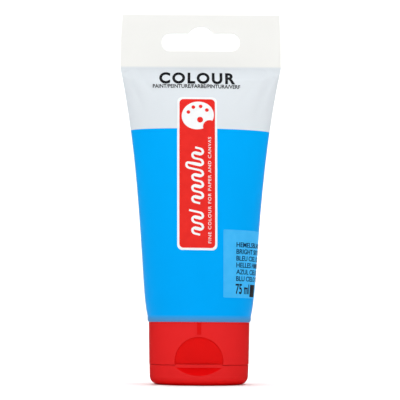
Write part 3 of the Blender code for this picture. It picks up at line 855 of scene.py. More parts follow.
def words(text, cap_height, place, width=None, bold=0.0, spacing=1.0, upward=False):
    """Flat words with a given height of their capitals. The place is the left end of the baseline."""
    deselect()
    bpy.ops.object.text_add(location=(0.0, 0.0, 0.0))
    made = bpy.context.object
    made.data.body = text
    made.data.size = cap_height / CAPITALS
    made.data.resolution_u = 6
    made.data.offset = bold
    made.data.space_character = spacing
    made.data.extrude = INK / 2
    bpy.ops.object.convert(target="MESH")
    made = bpy.context.object
    use(made, "EDIT")
    bpy.ops.mesh.select_all(action="SELECT")
    bpy.ops.mesh.remove_doubles(threshold=0.0005)
    bpy.ops.mesh.normals_make_consistent(inside=False)
    bpy.ops.object.mode_set(mode="OBJECT")
    low_x = min(corner[0] for corner in made.bound_box)
    made.data.transform(Matrix.Translation((-low_x, 0.0, INK / 2)))
    if width:
        made.scale.x = width / made.dimensions.x
    if upward:
        made.rotation_euler.z = math.pi / 2
    made.location = (*place, 0.0)
    settle(made)
    return made


def joined(pieces):
    """Several drawings as one."""
    deselect()
    for piece in pieces:
        piece.select_set(True)
    bpy.context.view_layer.objects.active = pieces[0]
    bpy.ops.object.join()
    return bpy.context.object


CAPITALS = 1.0  # until one capital has been measured
sample = words("H", 1.0, (0.0, 0.0))
CAPITALS = sample.dimensions.y
bpy.data.objects.remove(sample)
print("capitals of the font:", round(CAPITALS, 3), "of its size")

# %% The big word and the line under it
WORD = ((-15.85, 116.30), 29.6, 4.45)  # left end of the baseline, width, height of the capitals
LINE = ((-18.35, 114.3), 34.0, 1.45)

big_word = words("COLOUR", WORD[2], WORD[0], WORD[1], bold=0.24, spacing=1.22)
printed(big_word, "word_print", 0, BLACK, SLICE_UP_FINE)
small_words = words("PAINT/PEINTURE/FARBE/PINTURA/VERF", LINE[2], LINE[0], LINE[1], bold=0.045)
printed(small_words, "word_line_print", 0, BLACK)

# %% [markdown]
# The label is white ink with a red field on it. On the red lie a painter's palette, a flourish that looks
# brushed, and a line of small words that reads upwards.

# %% Label
LABEL_LOW = (-8.75, 51.0)
LABEL_HIGH = (6.6, 110.5)
LABEL_ROUNDING = 2.0
BORDER = 0.85

printed(plate(LABEL_LOW, LABEL_HIGH, LABEL_ROUNDING), "label_border_print", 0, WHITE)
printed(
    plate(
        (LABEL_LOW[0] + BORDER, LABEL_LOW[1] + BORDER),
        (LABEL_HIGH[0] - BORDER, LABEL_HIGH[1] - BORDER),
        LABEL_ROUNDING - BORDER / 2,
    ),
    "label_field_print",
    1,
    RED,
)

# %% Palette
PALETTE_CENTRE = (-0.85, 103.1)
PALETTE_HALF = (6.2, 5.5)
PALETTE_DABS = ((-3.6, 1.3), (-1.7, 3.3), (1.1, 3.6), (3.5, 2.2))
DAB_RADIUS = 0.72
BITE = ((4.6, -4.4), 2.6)  # for the hand
THUMB_HOLE = ((0.9, -1.7), 1.15)
HOLE_PUNCH = 4 * INK


def disc(centre, radius, thickness, around=48):
    """A flat disc in the drawing, or a thicker one to punch a hole with."""
    deselect()
    bpy.ops.mesh.primitive_cylinder_add(
        vertices=around, radius=radius, depth=thickness, location=(*centre, INK / 2)
    )
    made = bpy.context.object
    settle(made)
    return made


palette = disc((0.0, 0.0), 1.0, INK, 96)
use(palette, "EDIT")
bpy.ops.mesh.select_all(action="SELECT")
bpy.ops.transform.resize(value=(*PALETTE_HALF, 1.0), center_override=(0.0, 0.0, 0.0))
bpy.ops.transform.rotate(value=math.radians(-12), orient_axis="Z", center_override=(0.0, 0.0, 0.0))
bpy.ops.object.mode_set(mode="OBJECT")
cut(palette, disc(*BITE, HOLE_PUNCH))
cut(palette, disc(*THUMB_HOLE, HOLE_PUNCH))
for dab in PALETTE_DABS:
    cut(palette, disc(dab, DAB_RADIUS, HOLE_PUNCH, 32))
palette.data.transform(Matrix.Translation((*PALETTE_CENTRE, 0.0)))
printed(palette, "palette_print", 2, WHITE)

# %% Brushed flourish
STROKE_PITCH = 2.12  # between one upright and the next
STROKE_HALF = 0.62
STROKE_LEAN = 0.22
SMALL_UPRIGHT = 4.0
TALL_UPRIGHT = 6.3
FLOURISH_BASE = 1.10  # the baseline's place along the girth
FLOURISH_GROUPS = ((56.6, (0, 0, 0, 0, 1)), (68.6, (0, 0, 0, 0, 0, 0, 1, 0, 0, 0, 0)))
UPRIGHT_STEPS = 6
ARC_STEPS = 6
PRESSURE_UP = 0.62
PRESSURE_DOWN = 1.0
PRESSURE_TURN = 0.75


def flourish(start, uprights):
    """One brushed group: uprights joined by round turns, drawn with more pressure on the way down."""
    path = []
    turn = STROKE_PITCH / 2
    for number, tall in enumerate(uprights):
        top = (TALL_UPRIGHT if tall else SMALL_UPRIGHT) - turn
        left = 2 * turn * number
        rising = number % 2 == 0
        for step in range(UPRIGHT_STEPS + 1):
            share = step / UPRIGHT_STEPS if rising else 1 - step / UPRIGHT_STEPS
            path.append((left, turn + (top - turn) * share, PRESSURE_UP if rising else PRESSURE_DOWN))
        if number == len(uprights) - 1:
            break
        level = top if rising else turn
        for step in range(1, ARC_STEPS):
            angle = math.pi * step / ARC_STEPS
            swing = math.sin(angle) * turn * (1 if rising else -1)
            path.append((left + turn * (1 - math.cos(angle)), level + swing, PRESSURE_TURN))
    bpy.ops.object.select_all(action="DESELECT")
    curve = bpy.data.curves.new("flourish", "CURVE")
    curve.dimensions = "3D"
    curve.bevel_depth = STROKE_HALF
    curve.bevel_resolution = 2
    curve.use_fill_caps = True
    spline = curve.splines.new("POLY")
    spline.points.add(len(path) - 1)
    for point, (u, v, pressure) in zip(spline.points, path):
        point.co = (FLOURISH_BASE - v, start + u + STROKE_LEAN * v, 0.0, 1.0)
        point.radius = pressure
    made = bpy.data.objects.new("flourish", curve)
    bpy.context.scene.collection.objects.link(made)
    use(made)
    bpy.ops.object.convert(target="MESH")
    made = bpy.context.object
    tidy_mesh(made, 0.0005)
    use(made, "EDIT")
    bpy.ops.mesh.select_all(action="SELECT")
    bpy.ops.transform.resize(value=(1.0, 1.0, INK / 2 / STROKE_HALF), center_override=(0.0, 0.0, 0.0))
    bpy.ops.transform.translate(value=(0.0, 0.0, INK / 2))
    bpy.ops.object.mode_set(mode="OBJECT")
    return made


groups = [flourish(start, uprights) for start, uprights in FLOURISH_GROUPS]
printed(joined(groups), "brush_flourish_print", 2, WHITE)

# %% The small words beside the flourish
printed(
    words("FINE COLOUR FOR PAPER AND CANVAS", 1.15, (4.25, 53.7), 40.9, spacing=1.2, upward=True),
    "label_line_print",
    2,
    WHITE,
)

# %% [markdown]
# On the right a paler panel runs round the side. It names the colour in six languages, gives the volume, and
# ends in a black square.

# %% Side panel
PANEL_LOW = (9.0, 33.3)
PANEL_HIGH = (46.0, 59.1)
COLOUR_NAMES = (
    "HEMELSBLAUW LICHT",
    "BRIGHT SKY BLUE",
    "BLEU CIEL CLAIR",
    "HELLES HIMMELBLAU",
    "AZUL CIELO CLARO",
    "BLU CIELO CHIARO",
)
NAMES_LEFT = 14.5
NAMES_TOP = 53.5
NAMES_PITCH = 2.58
NAMES_CAPITALS = 1.75
VOLUME = ((14.3, 34.9), 7.6, 3.6)  # left end of the baseline, width, height of the figures
SQUARE_LOW = (22.7, 33.8)
SQUARE_HIGH = (27.4, 38.5)

printed(plate(PANEL_LOW, PANEL_HIGH, 0.4), "panel_print", 0, PALE_BLUE)
lines = []
for number, name in enumerate(COLOUR_NAMES):
    baseline = NAMES_TOP - NAMES_CAPITALS / 2 - NAMES_PITCH * number
    lines.append(words(name, NAMES_CAPITALS, (NAMES_LEFT, baseline), bold=0.045))
printed(joined(lines), "colour_names_print", 1, NAVY)
printed(words("75 ml", VOLUME[2], VOLUME[0], VOLUME[1], bold=0.10), "volume_print", 1, BLACK)
printed(plate(SQUARE_LOW, SQUARE_HIGH, 0.1), "square_print", 1, BLACK)

# %% [markdown]
# ## The cap
#
# The cap is one moulding in red polypropylene: the skirt, the deck with its spout, and the lid on thin
# hinges. Skirt and lid are round, so each is grown from one circle along its profile, with the mould's
# roundings in the profile. The deck's ring centres the lid, and a socket in the middle snaps over the bead of
# the neck.

# %% Profiles
GAP = 0.3 * MM  # the part leaves this between neighbours
EDGE_ROUNDING = 0.25 * MM
SEAM_ROUNDING = 0.10 * MM
SEAM_GAP = 0.14 * MM  # what shows between cap body and lid
BODY_SEAM = seam_z + SEAM_GAP / 2
LID_SEAM = seam_z - SEAM_GAP / 2
SEAM_RADIUS = RIM_RADIUS - 0.25 * MM
CAP_WALL = 1.2 * MM
LID_FOOT_SIDE = LID_RADIUS - 0.15 * MM
LID_FOOT_ROUNDING = 3.3 * MM
LID_INSIDE = LID_FOOT_SIDE - CAP_WALL
CAP_AROUND = 192
TRIM_INSET = 0.15 * MM  # what thickens a wall from inside stays this far behind its outer face


def rounded_profile(corners, steps=4):
    """Points of a closed profile. A corner is (radius, height) or (radius, height, rounding)."""
    points = []
    for number, corner in enumerate(corners):
        here = Vector(corner[:2])
        if len(corner) == 2:
            points.append(tuple(here))
            continue
        back = Vector(corners[number - 1][:2]) - here
        forth = Vector(corners[(number + 1) % len(corners)][:2]) - here
        reach = corner[2] * math.tan((math.pi - back.angle(forth)) / 2)
        start = here + back.normalized() * reach
        end = here + forth.normalized() * reach
        for step in range(steps + 1):
            share = step / steps
            points.append(tuple(start * (1 - share) ** 2 + here * 2 * share * (1 - share) + end * share**2))
    return points


def grow(name, path, ring=True, around=CAP_AROUND):
    """Grows a turned piece from one circle. A ring comes back to its start, any other piece is filled."""
    deselect()
    start = (0.0, 0.0, path[0][1])
    bpy.ops.mesh.primitive_circle_add(vertices=around, radius=path[0][0], location=start)
    piece = bpy.context.object
    piece.name = name
    settle(piece)
    use(piece, "EDIT")
    bpy.ops.mesh.select_all(action="SELECT")
    if not ring:
        bpy.ops.mesh.edge_face_add()
    bpy.ops.mesh.select_mode(type="EDGE")
    for last, point in zip(path, path[1:] + path[:1] if ring else path[1:]):
        bpy.ops.mesh.extrude_edges_move()
        bpy.ops.transform.translate(value=(0.0, 0.0, point[1] - last[1]))
        wider = point[0] / last[0]
        bpy.ops.transform.resize(value=(wider, wider, 1.0), center_override=(0.0, 0.0, point[1]))
    if not ring:
        bpy.ops.mesh.edge_face_add()
    bpy.ops.object.mode_set(mode="OBJECT")
    tidy_mesh(piece, 0.000004)
    return piece


def block(low, high):
    """A block between two corners."""
    deselect()
    centre = [(a + b) / 2 for a, b in zip(low, high)]
    size = [b - a for a, b in zip(low, high)]
    bpy.ops.mesh.primitive_cube_add(size=1.0, location=centre, scale=size)
    made = bpy.context.object
    settle(made)
    return made


def rod(radius, front, back, height, around=CAP_AROUND):
    """A round rod along Y."""
    deselect()
    bpy.ops.mesh.primitive_cylinder_add(
        vertices=around,
        radius=radius,
        depth=back - front,
        location=(0.0, (front + back) / 2, height),
        rotation=(math.pi / 2, 0.0, 0.0),
    )
    made = bpy.context.object
    settle(made)
    return made


# %% Grow the cap body
DECK_BOTTOM = BODY_SEAM + 0.7 * MM
DECK_TOP = DECK_BOTTOM + 1.2 * MM
COLLAR_RADIUS = LID_INSIDE - 0.5 * MM
COLLAR_END = BODY_SEAM - 1.4 * MM
COLLAR_INSIDE = COLLAR_RADIUS - 1.0 * MM
ORIFICE_RADIUS = 2.5 * MM
SPOUT_RADIUS = ORIFICE_RADIUS + 1.4 * MM
SPOUT_END = cap_low.z
SOCKET_RADIUS = 8.3 * MM
SOCKET_WALL = 1.2 * MM
SOCKET_END = 19.3 * MM
SOCKET_BEAD = 0.4 * MM
SOCKET_BEAD_Z = 15.3 * MM
OUTSIDE_STEP = 1.6 * MM  # rings on the outside keep the shading true where the recess is cut

corners = [(RIM_RADIUS - CAP_WALL, CAP_RIM, 0.2 * MM), (RIM_RADIUS, CAP_RIM, SEAM_ROUNDING)]
height = CAP_RIM - OUTSIDE_STEP
while height > BODY_SEAM + OUTSIDE_STEP:
    share = (height - BODY_SEAM) / (CAP_RIM - BODY_SEAM)
    corners.append((SEAM_RADIUS + (RIM_RADIUS - SEAM_RADIUS) * share, height))
    height -= OUTSIDE_STEP
corners += [
    (SEAM_RADIUS, BODY_SEAM, SEAM_ROUNDING),
    (COLLAR_RADIUS, BODY_SEAM, 0.1 * MM),
    (COLLAR_RADIUS, COLLAR_END, EDGE_ROUNDING),
    (COLLAR_INSIDE, COLLAR_END, EDGE_ROUNDING),
    (COLLAR_INSIDE, DECK_BOTTOM, EDGE_ROUNDING),
    (SPOUT_RADIUS, DECK_BOTTOM, 0.5 * MM),
    (SPOUT_RADIUS - 0.15 * MM, SPOUT_END, 0.45 * MM),
    (ORIFICE_RADIUS, SPOUT_END, 0.3 * MM),
    (ORIFICE_RADIUS, DECK_TOP, 0.1 * MM),
    (SOCKET_RADIUS, DECK_TOP),
    (SOCKET_RADIUS, SOCKET_BEAD_Z - SOCKET_BEAD),
    (SOCKET_RADIUS - SOCKET_BEAD, SOCKET_BEAD_Z),
    (SOCKET_RADIUS - SOCKET_BEAD, SOCKET_BEAD_Z + SOCKET_BEAD),
    (SOCKET_RADIUS, SOCKET_BEAD_Z + 2 * SOCKET_BEAD),
    (SOCKET_RADIUS, SOCKET_END, 0.3 * MM),
    (SOCKET_RADIUS + SOCKET_WALL, SOCKET_END, 0.3 * MM),
    (SOCKET_RADIUS + SOCKET_WALL, DECK_TOP, 0.3 * MM),
    (SEAM_RADIUS - CAP_WALL, DECK_TOP, 0.3 * MM),
]
cap = grow("cap_skirt", rounded_profile(corners))
say(cap)

# %% [markdown]
# The thumb recess is round, and its floor slopes back towards the seam. Its cutter is a rod whose inner end
# is sliced off at that slope and rounded. The wall behind it is thickened first, or the cut would go through,
# and so is the wall behind the flat for the hinge.

# %% Thicken the wall behind the recess and the hinge
THUMB_RADIUS = 9.2 * MM
THUMB_Z = seam_z + 1.4 * MM
THUMB_TOP_DEPTH = 1.5 * MM
THUMB_SEAM_DEPTH = 2.9 * MM
THUMB_ROUNDING = 0.6 * MM
HINGE_REACH = 3.6 * MM
HINGE_PAD = 1.2 * MM
film_low, film_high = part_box("hinge_film_right")
strap_low, strap_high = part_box("hinge_snap_strap")
HINGE_FLAT_Y = film_low.y - GAP
HINGE_FLAT_HALF = math.sqrt(SEAM_RADIUS**2 - HINGE_FLAT_Y**2)


def inside_cap():
    """A plug of the cap's outline, to trim what thickens its wall."""
    top = THUMB_Z + THUMB_RADIUS + 2 * CAP_WALL
    path = [(SEAM_RADIUS - TRIM_INSET, BODY_SEAM + TRIM_INSET), (SEAM_RADIUS - TRIM_INSET, top)]
    return grow("trim", path, ring=False)


backing = rod(
    THUMB_RADIUS + CAP_WALL, -SLEEVE_RADIUS, -SEAM_RADIUS + THUMB_SEAM_DEPTH + CAP_WALL, THUMB_Z
)
cut(backing, inside_cap(), "INTERSECT")
cut(cap, backing, "UNION")
pad = block(
    (-HINGE_FLAT_HALF, HINGE_FLAT_Y - HINGE_PAD, BODY_SEAM),
    (HINGE_FLAT_HALF, HINGE_FLAT_Y + GAP, BODY_SEAM + HINGE_REACH + HINGE_PAD),
)
cut(pad, inside_cap(), "INTERSECT")
cut(cap, pad, "UNION")
say(cap)

# %% Cut the recess
thumb_slope = (THUMB_TOP_DEPTH - THUMB_SEAM_DEPTH) / (THUMB_Z + THUMB_RADIUS - seam_z)
thumb = rod(THUMB_RADIUS, -SLEEVE_RADIUS - CAP_WALL, 0.0, THUMB_Z)
floor_point = Vector((0.0, -SEAM_RADIUS + THUMB_SEAM_DEPTH, seam_z))
floor_normal = Vector((0.0, 1.0, -thumb_slope)).normalized()
use(thumb, "EDIT")
bpy.ops.mesh.select_all(action="SELECT")
bpy.ops.mesh.bisect(
    plane_co=floor_point, plane_no=floor_normal, use_fill=True, clear_outer=True, threshold=0.000001
)
rim = pick(
    "EDGE",
    lambda edge: all(abs((v.co - floor_point).dot(floor_normal)) < 0.01 * MM for v in edge.verts),
)
bpy.ops.mesh.bevel(offset=THUMB_ROUNDING, segments=4)
bpy.ops.object.mode_set(mode="OBJECT")
print("edges round the recess floor:", rim)
cut(cap, thumb)

# %% [markdown]
# A flat at the back makes room for the hinge, above and below the seam, so the same block cuts the cap body
# and later the lid. In front and at the back the deck's ring would stand in the way of the lip and of the
# hinge, so two blocks take it away there. A small notch under the sleeve marks the front, so that the cap can
# be lined up with the print when it is pressed on.

# %% Cut the hinge flat and the marking notch
NOTCH_HALF = 0.8 * MM
NOTCH_LENGTH = 4.7 * MM
NOTCH_DEPTH = 0.3 * MM
NOTCH_ROUNDING = 0.3 * MM


def hinge_window():
    """The block that cuts the flat for the hinge."""
    return block(
        (-HINGE_FLAT_HALF - CAP_WALL, HINGE_FLAT_Y, seam_z - HINGE_REACH),
        (HINGE_FLAT_HALF + CAP_WALL, SLEEVE_RADIUS + CAP_WALL, seam_z + HINGE_REACH),
    )


cut(cap, hinge_window())
below_seam = BODY_SEAM - GAP / 10
cut(
    cap,
    block(
        (-THUMB_RADIUS - 2 * CAP_WALL, -SLEEVE_RADIUS, COLLAR_END - CAP_WALL),
        (THUMB_RADIUS + 2 * CAP_WALL, -SEAM_RADIUS / 2, below_seam),
    ),
)
cut(
    cap,
    block(
        (-HINGE_FLAT_HALF - CAP_WALL, SEAM_RADIUS / 2, COLLAR_END - CAP_WALL),
        (HINGE_FLAT_HALF + CAP_WALL, SLEEVE_RADIUS, below_seam),
    ),
)
notch = block(
    (-NOTCH_HALF, -SLEEVE_RADIUS, CAP_RIM - NOTCH_LENGTH),
    (NOTCH_HALF, -RIM_RADIUS + NOTCH_DEPTH, CAP_RIM + CAP_WALL),
)
use(notch, "EDIT")
pick(
    "EDGE",
    lambda edge: max(v.co.z for v in edge.verts) < CAP_RIM and abs(middle(edge).x) > NOTCH_HALF / 2,
)
bpy.ops.mesh.bevel(offset=NOTCH_ROUNDING, segments=3)
bpy.ops.object.mode_set(mode="OBJECT")
cut(cap, notch)
tidy_mesh(cap, 0.000001)
smooth(cap, 30)
say(cap)

# %% [markdown]
# The mould's outer walls are spark-eroded, which gives the skirt a fine matt grain; its red is painted a
# little lighter and hazier, as painted sheen. The recess and the notch are polished, and their red is painted
# darker and clearer, as painted shade. In the scoop and round the foot the painted shade is deeper still. The
# material tells
# them apart by place: the recess by the distance from the thumb's axis, the scoop by the distance from the
# cap's axis, the foot by its height, and the notch by its own small window. The sizes of lip, scoop and ridge
# come first, because the material needs them before the lid does.

# %% Sizes and reds for the cap's plastic
LIP_DEPTH = 2.2 * MM
LIP_HEIGHT = 0.9 * MM
LIP_UNDERCUT = 0.12 * MM
SCOOP_HEIGHT = 4.2 * MM
RIDGE_HALF = 8.8 * MM
RIDGE_WALL = 0.42 * MM
RIDGE_HEIGHT = 0.35 * MM

SCOOP_FADE = (2.4 * MM, 3.4 * MM)  # below these heights the scoop runs out into the wall
FOOT_FADE = (0.6 * MM, 2.6 * MM)  # and the rounded foot begins

# The skirt's red is painted lighter and hazier than the reds of the cut-in places: painted sheen. Its darker
# twin is only a random drift in tone.
SKIRT_SHEEN_RED = (0.890, 0.036, 0.037)
SKIRT_SHEEN_RED_DARK = (0.860, 0.031, 0.031)
# Painted shade: the recess and the notch get a darker, clearer red, and the scoop and the foot a deeper one.
CUT_IN_SHADE_RED = (0.845, 0.013, 0.012)
DEEP_SHADE_RED = (0.900, 0.004, 0.005)
CAP_TINT = (0.88, 0.62, 0.62)
MASK_EDGE = 0.02 * MM  # how quickly one finish gives way to the next
print("reds from", SKIRT_SHEEN_RED, "to", DEEP_SHADE_RED)

# %% Cap plastic


def compute(tree, operation, first, second=0.5, clamp=False):
    """One step of arithmetic on sockets or numbers."""
    made = tree.nodes.new("ShaderNodeMath")
    made.operation = operation
    made.use_clamp = clamp
    for socket, value in zip(made.inputs, (first, second)):
        if isinstance(value, (int, float)):
            socket.default_value = value
        else:
            tree.links.new(value, socket)
    return made.outputs["Value"]


def product(tree, first, *others):
    """Masks multiplied, so what is left is where all of them hold."""
    for other in others:
        first = compute(tree, "MULTIPLY", first, other)
    return first


def off_axis(tree, across, along):
    """The distance from an axis, from the two offsets at right angles to it."""
    squares = [compute(tree, "MULTIPLY", offset, offset) for offset in (across, along)]
    return compute(tree, "SQRT", compute(tree, "ADD", *squares))


def cap_material():
    """Moulded red plastic: matt on the outer walls, with a painted sheen; polished where it is cut in, with
    painted shade.
    """
    made, tree, shader, place = new_material("red_cap_plastic", 0.38, 0.012)
    deepen(shader, CAP_TINT)
    split = tree.nodes.new("ShaderNodeSeparateXYZ")
    tree.links.new(place, split.inputs["Vector"])
    x, y, z = split.outputs
    in_front = spread(tree, y, -MM, 0.0, 1.0, 0.0)
    lip_bottom = LID_SEAM - LIP_HEIGHT
    ridge_top = LID_SEAM + RIDGE_HEIGHT
    notch_bottom = CAP_RIM - NOTCH_LENGTH

    off_thumb = off_axis(tree, x, compute(tree, "SUBTRACT", z, THUMB_Z))
    recess = spread(tree, off_thumb, THUMB_RADIUS, THUMB_RADIUS + MASK_EDGE, 1.0, 0.0)
    above_ridge = spread(tree, z, ridge_top, ridge_top + 0.05 * MM, 0.0, 1.0)
    recess = product(tree, recess, in_front, above_ridge)

    notch_x = spread(tree, compute(tree, "ABSOLUTE", x), NOTCH_HALF - 0.05 * MM, NOTCH_HALF, 1.0, 0.0)
    notch_z = spread(tree, z, notch_bottom - MASK_EDGE, notch_bottom, 0.0, 1.0)
    notch = product(tree, notch_x, notch_z, in_front)

    radius = off_axis(tree, x, y)
    cut_in = spread(tree, radius, LID_FOOT_SIDE - 0.12 * MM, LID_FOOT_SIDE - MASK_EDGE, 1.0, 0.0)
    under_lip = spread(tree, z, lip_bottom - MASK_EDGE, lip_bottom, 1.0, 0.0)
    scoop = product(tree, cut_in, under_lip, in_front, spread(tree, z, *SCOOP_FADE, 0.0, 1.0))
    foot = spread(tree, z, *FOOT_FADE, 1.0, 0.0)

    # The scoop and the foot, where the deepest painted shade goes.
    deep = compute(tree, "ADD", scoop, foot, clamp=True)
    polished_and_shaded = compute(tree, "ADD", compute(tree, "ADD", recess, notch), deep, clamp=True)
    eroded_and_sheen = compute(tree, "SUBTRACT", 1.0, polished_and_shaded, clamp=True)
    drift = spread(tree, noise(tree, place, 90.0, 3.0), 0.35, 0.65, 0.0, 0.25)
    # The skirt's red with its painted sheen, drifting at random between two tones.
    sheen_hazed_red = blend_colours(tree, drift, SKIRT_SHEEN_RED, SKIRT_SHEEN_RED_DARK)
    # The painted shade red: darker and clearer in the recess and the notch, deepest in the scoop and round the
    # foot.
    clear = blend_colours(tree, deep, CUT_IN_SHADE_RED, DEEP_SHADE_RED)
    tree.links.new(blend_colours(tree, eroded_and_sheen, clear, sheen_hazed_red), shader.inputs["Base Color"])
    tree.links.new(spread(tree, eroded_and_sheen, 0.0, 1.0, 0.30, 0.46), shader.inputs["Roughness"])
    grain = bump(tree, shader, noise(tree, place, 3500.0, 3.0), 0.000006)
    bump(tree, shader, noise(tree, place, 70.0), 0.00002, grain)
    return made


RED_PLASTIC = cap_material()


def moulded(piece, body, node):
    """Finishes a piece of the cap, in the place of its plain solid."""
    piece.data.materials.clear()
    piece.data.materials.append(RED_PLASTIC)
    if body:
        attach(piece, body)
    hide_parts(node)


moulded(cap, "tube", "cap_body")
print(cap.name, "finished in", RED_PLASTIC.name)

# %% [markdown]
# ## The lid
#
# The lid is a shallow cup that the whole tube stands on. A hollow plug in its middle closes the spout. In
# front the wall is scooped away under a lip, which a thumb pushes up. It is grown in one go: from the plug's
# bore, over the plug, across the floor, up the wall and round the foot to the standing face.

# %% Grow the lid
PLUG_RADIUS = ORIFICE_RADIUS - GAP
PLUG_BORE = 1.2 * MM
PLUG_TIP = lid_high.z
LID_FLOOR = 1.2 * MM
INNER_ROUNDING = LID_FOOT_ROUNDING - CAP_WALL
GATE_RADIUS = 1.1 * MM  # the mark of the mould's gate, in the middle of the standing face
GATE_DEPTH = 0.25 * MM
FOOT_STEPS = 12

lid_corners = [
    (PLUG_BORE, LID_FLOOR),
    (PLUG_BORE, PLUG_TIP, 0.2 * MM),
    (PLUG_RADIUS, PLUG_TIP, 0.35 * MM),
    (PLUG_RADIUS, LID_FLOOR, 0.4 * MM),
    (LID_INSIDE, LID_FLOOR, INNER_ROUNDING),
    (LID_INSIDE, LID_SEAM, SEAM_ROUNDING),
    (LID_RADIUS, LID_SEAM, SEAM_ROUNDING),
    (LID_RADIUS - 0.06 * MM, 5.6 * MM),
    (LID_FOOT_SIDE + 0.02 * MM, 4.0 * MM),
]
foot = []
for step in range(FOOT_STEPS + 1):
    angle = math.pi / 2 * step / FOOT_STEPS
    radius = LID_FOOT_SIDE - LID_FOOT_ROUNDING * (1 - math.cos(angle))
    foot.append((radius, LID_FOOT_ROUNDING * (1 - math.sin(angle))))
gate = [(GATE_RADIUS, 0.0), (GATE_RADIUS - 0.15 * MM, GATE_DEPTH)]
lid = grow("flip_lid", rounded_profile(lid_corners, 5)[:-1] + foot + gate, ring=False)
say(lid)

# %% [markdown]
# As on the cap body, the wall is thickened first where it will be cut. The scoop's block has a sloping floor,
# so that the thumb slides in. A low ridge on the lip covers the seam from the front.

# %% Thicken the lid's wall
front = -LID_RADIUS
outside = -SLEEVE_RADIUS - CAP_WALL
lip_z = LID_SEAM - LIP_HEIGHT
deep = front + LIP_DEPTH + LIP_UNDERCUT
scoop_half = THUMB_RADIUS + CAP_WALL


def inside_lid():
    """A plug of the lid's outline, to trim what thickens its wall."""
    path = [
        (LID_FOOT_SIDE - LID_FOOT_ROUNDING, TRIM_INSET),
        (LID_FOOT_SIDE - TRIM_INSET, LID_FOOT_ROUNDING),
        (LID_RADIUS - TRIM_INSET, LID_SEAM - TRIM_INSET),
    ]
    return grow("trim", path, ring=False)


backing = block(
    (-scoop_half, outside, LID_FLOOR / 2),
    (scoop_half, deep + CAP_WALL, LID_SEAM + CAP_WALL),
)
cut(backing, inside_lid(), "INTERSECT")
cut(lid, backing, "UNION")
pad = block(
    (-HINGE_FLAT_HALF, HINGE_FLAT_Y - HINGE_PAD, LID_FLOOR / 2),
    (HINGE_FLAT_HALF, HINGE_FLAT_Y + GAP, LID_SEAM),
)
cut(pad, inside_lid(), "INTERSECT")
cut(lid, pad, "UNION")
say(lid)

# %% Cut the scoop under the lip
# The scoop is a block whose lower edge is pulled down and forwards until its floor slopes as it should.
scoop_low = LID_SEAM - SCOOP_HEIGHT
scoop = block((-scoop_half, outside, scoop_low), (scoop_half, deep, lip_z))
use(scoop, "EDIT")
pick("VERT", lambda point: point.co.y > front and point.co.z < lip_z - MM)
bpy.ops.transform.translate(value=(0.0, front - deep, 0.0))
pick("VERT", lambda point: point.co.y < front - MM / 2 and point.co.z < lip_z - MM)
bpy.ops.transform.translate(value=(0.0, 0.0, outside - front))
bpy.ops.object.mode_set(mode="OBJECT")
cut(lid, scoop)
before_lip = block(
    (-scoop_half, outside, lip_z - GAP / 10),
    (scoop_half, front + LIP_DEPTH, LID_SEAM + CAP_WALL),
)
cut(lid, before_lip)
say(lid)

# %% Add the ridge and cut the hinge flat
# The ridge stands just before the floor of the recess.
ridge = block(
    (-RIDGE_HALF, front + LIP_DEPTH, LID_SEAM - RIDGE_HEIGHT),
    (RIDGE_HALF, front + LIP_DEPTH + RIDGE_WALL, LID_SEAM + RIDGE_HEIGHT),
)
use(ridge, "EDIT")
pick(
    "EDGE",
    lambda edge: middle(edge).z > LID_SEAM and abs(edge.verts[0].co.x - edge.verts[1].co.x) > MM,
)
bpy.ops.mesh.bevel(offset=RIDGE_WALL * 0.2, segments=3)
bpy.ops.object.mode_set(mode="OBJECT")
cut(lid, ridge, "UNION")
cut(lid, hinge_window())
tidy_mesh(lid, 0.000001)
smooth(lid, 30)
moulded(lid, "lid", "cap_lid")
say(lid)

# %% [markdown]
# ## The hinge
#
# Two thin webs carry the lid, and a stiffer strap between them snaps it open or shut. Each is a strip with a
# thick foot at both ends, where it joins the cap and the lid, and a thin web between. The strips are tied to
# neither the tube nor the lid, so they stay as they are built.

# %% Hinge strips
FILM_BEND = 0.9 * MM  # half the length of each web
STRAP_BEND = 2.0 * MM
STRIP_STEPS = 16
STRIP_GAP = 0.02 * MM  # between a strip's feet and the flats


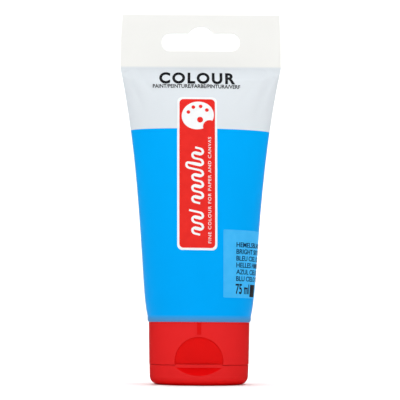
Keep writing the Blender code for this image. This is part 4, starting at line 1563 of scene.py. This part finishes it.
def strip(name, low, high, web, bend, node):
    """A hinge strip. It has a thin web over the middle, and its feet reach the flats."""
    made = block((low.x, HINGE_FLAT_Y + STRIP_GAP, low.z), (high.x, high.y, high.z))
    made.name = name
    use(made, "EDIT")
    for step in range(1, STRIP_STEPS):
        place = low.z + (high.z - low.z) * step / STRIP_STEPS
        bpy.ops.mesh.select_all(action="SELECT")
        bpy.ops.mesh.bisect(plane_co=(0.0, 0.0, place), plane_no=(0.0, 0.0, 1.0), threshold=0.0000005)
    thin = high.y - web - HINGE_FLAT_Y - STRIP_GAP
    pick("VERT", lambda point: point.co.y < low.y and abs(point.co.z - seam_z) < bend)
    bpy.ops.transform.translate(value=(0.0, thin, 0.0))
    bpy.ops.object.mode_set(mode="OBJECT")
    soften(made, 0.06 * MM, 2, 40)
    tidy_mesh(made, 0.0000005)
    smooth(made, 35)
    moulded(made, None, node)
    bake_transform(made)
    say(made)
    return made


for side in ("left", "right"):
    node = f"hinge_film_{side}"
    strip(f"hinge_web_{side}", *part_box(node), film_high.y - film_low.y, FILM_BEND, node)
strip("snap_strap", strap_low, strap_high, strap_high.y - strap_low.y, STRAP_BEND, "hinge_snap_strap")

# %% [markdown]
# ## Inside
#
# The moulded head and the paint are hidden while the tube is whole, but they are real pieces, so they get a
# finish of their own: milky natural plastic, and thick wet paint with soft folds.

# %% Head and paint


def give(node, material):
    """Puts a finish on a piece that keeps its plain solid."""
    mesh = nodes[node].data
    mesh.materials.clear()
    mesh.materials.append(material)
    print(node, "finished in", material.name)


MILKY = ((0.80, 0.82, 0.82), (0.75, 0.78, 0.79))
WET_BLUE = ((0.0, 0.34, 0.86), (0.0, 0.38, 0.92))

natural, head_tree, head_shader, head_place = new_material("natural_head_plastic", 0.40, 0.4)
cloud = spread(head_tree, noise(head_tree, head_place, 90.0, 3.0), 0.35, 0.65, 0.0, 1.0)
head_tree.links.new(blend_colours(head_tree, cloud, *MILKY), head_shader.inputs["Base Color"])
bump(head_tree, head_shader, noise(head_tree, head_place, 2500.0), 0.000005)
give("tube_head", natural)
paint, paint_tree, paint_shader, paint_place = new_material("wet_paint", 0.22, 0.5)
folds = spread(paint_tree, noise(paint_tree, paint_place, 60.0, 3.0), 0.35, 0.65, 0.0, 1.0)
paint_tree.links.new(blend_colours(paint_tree, folds, *WET_BLUE), paint_shader.inputs["Base Color"])
bump(paint_tree, paint_shader, noise(paint_tree, paint_place, 180.0, 2.0), 0.0002)
give("paint_fill", paint)
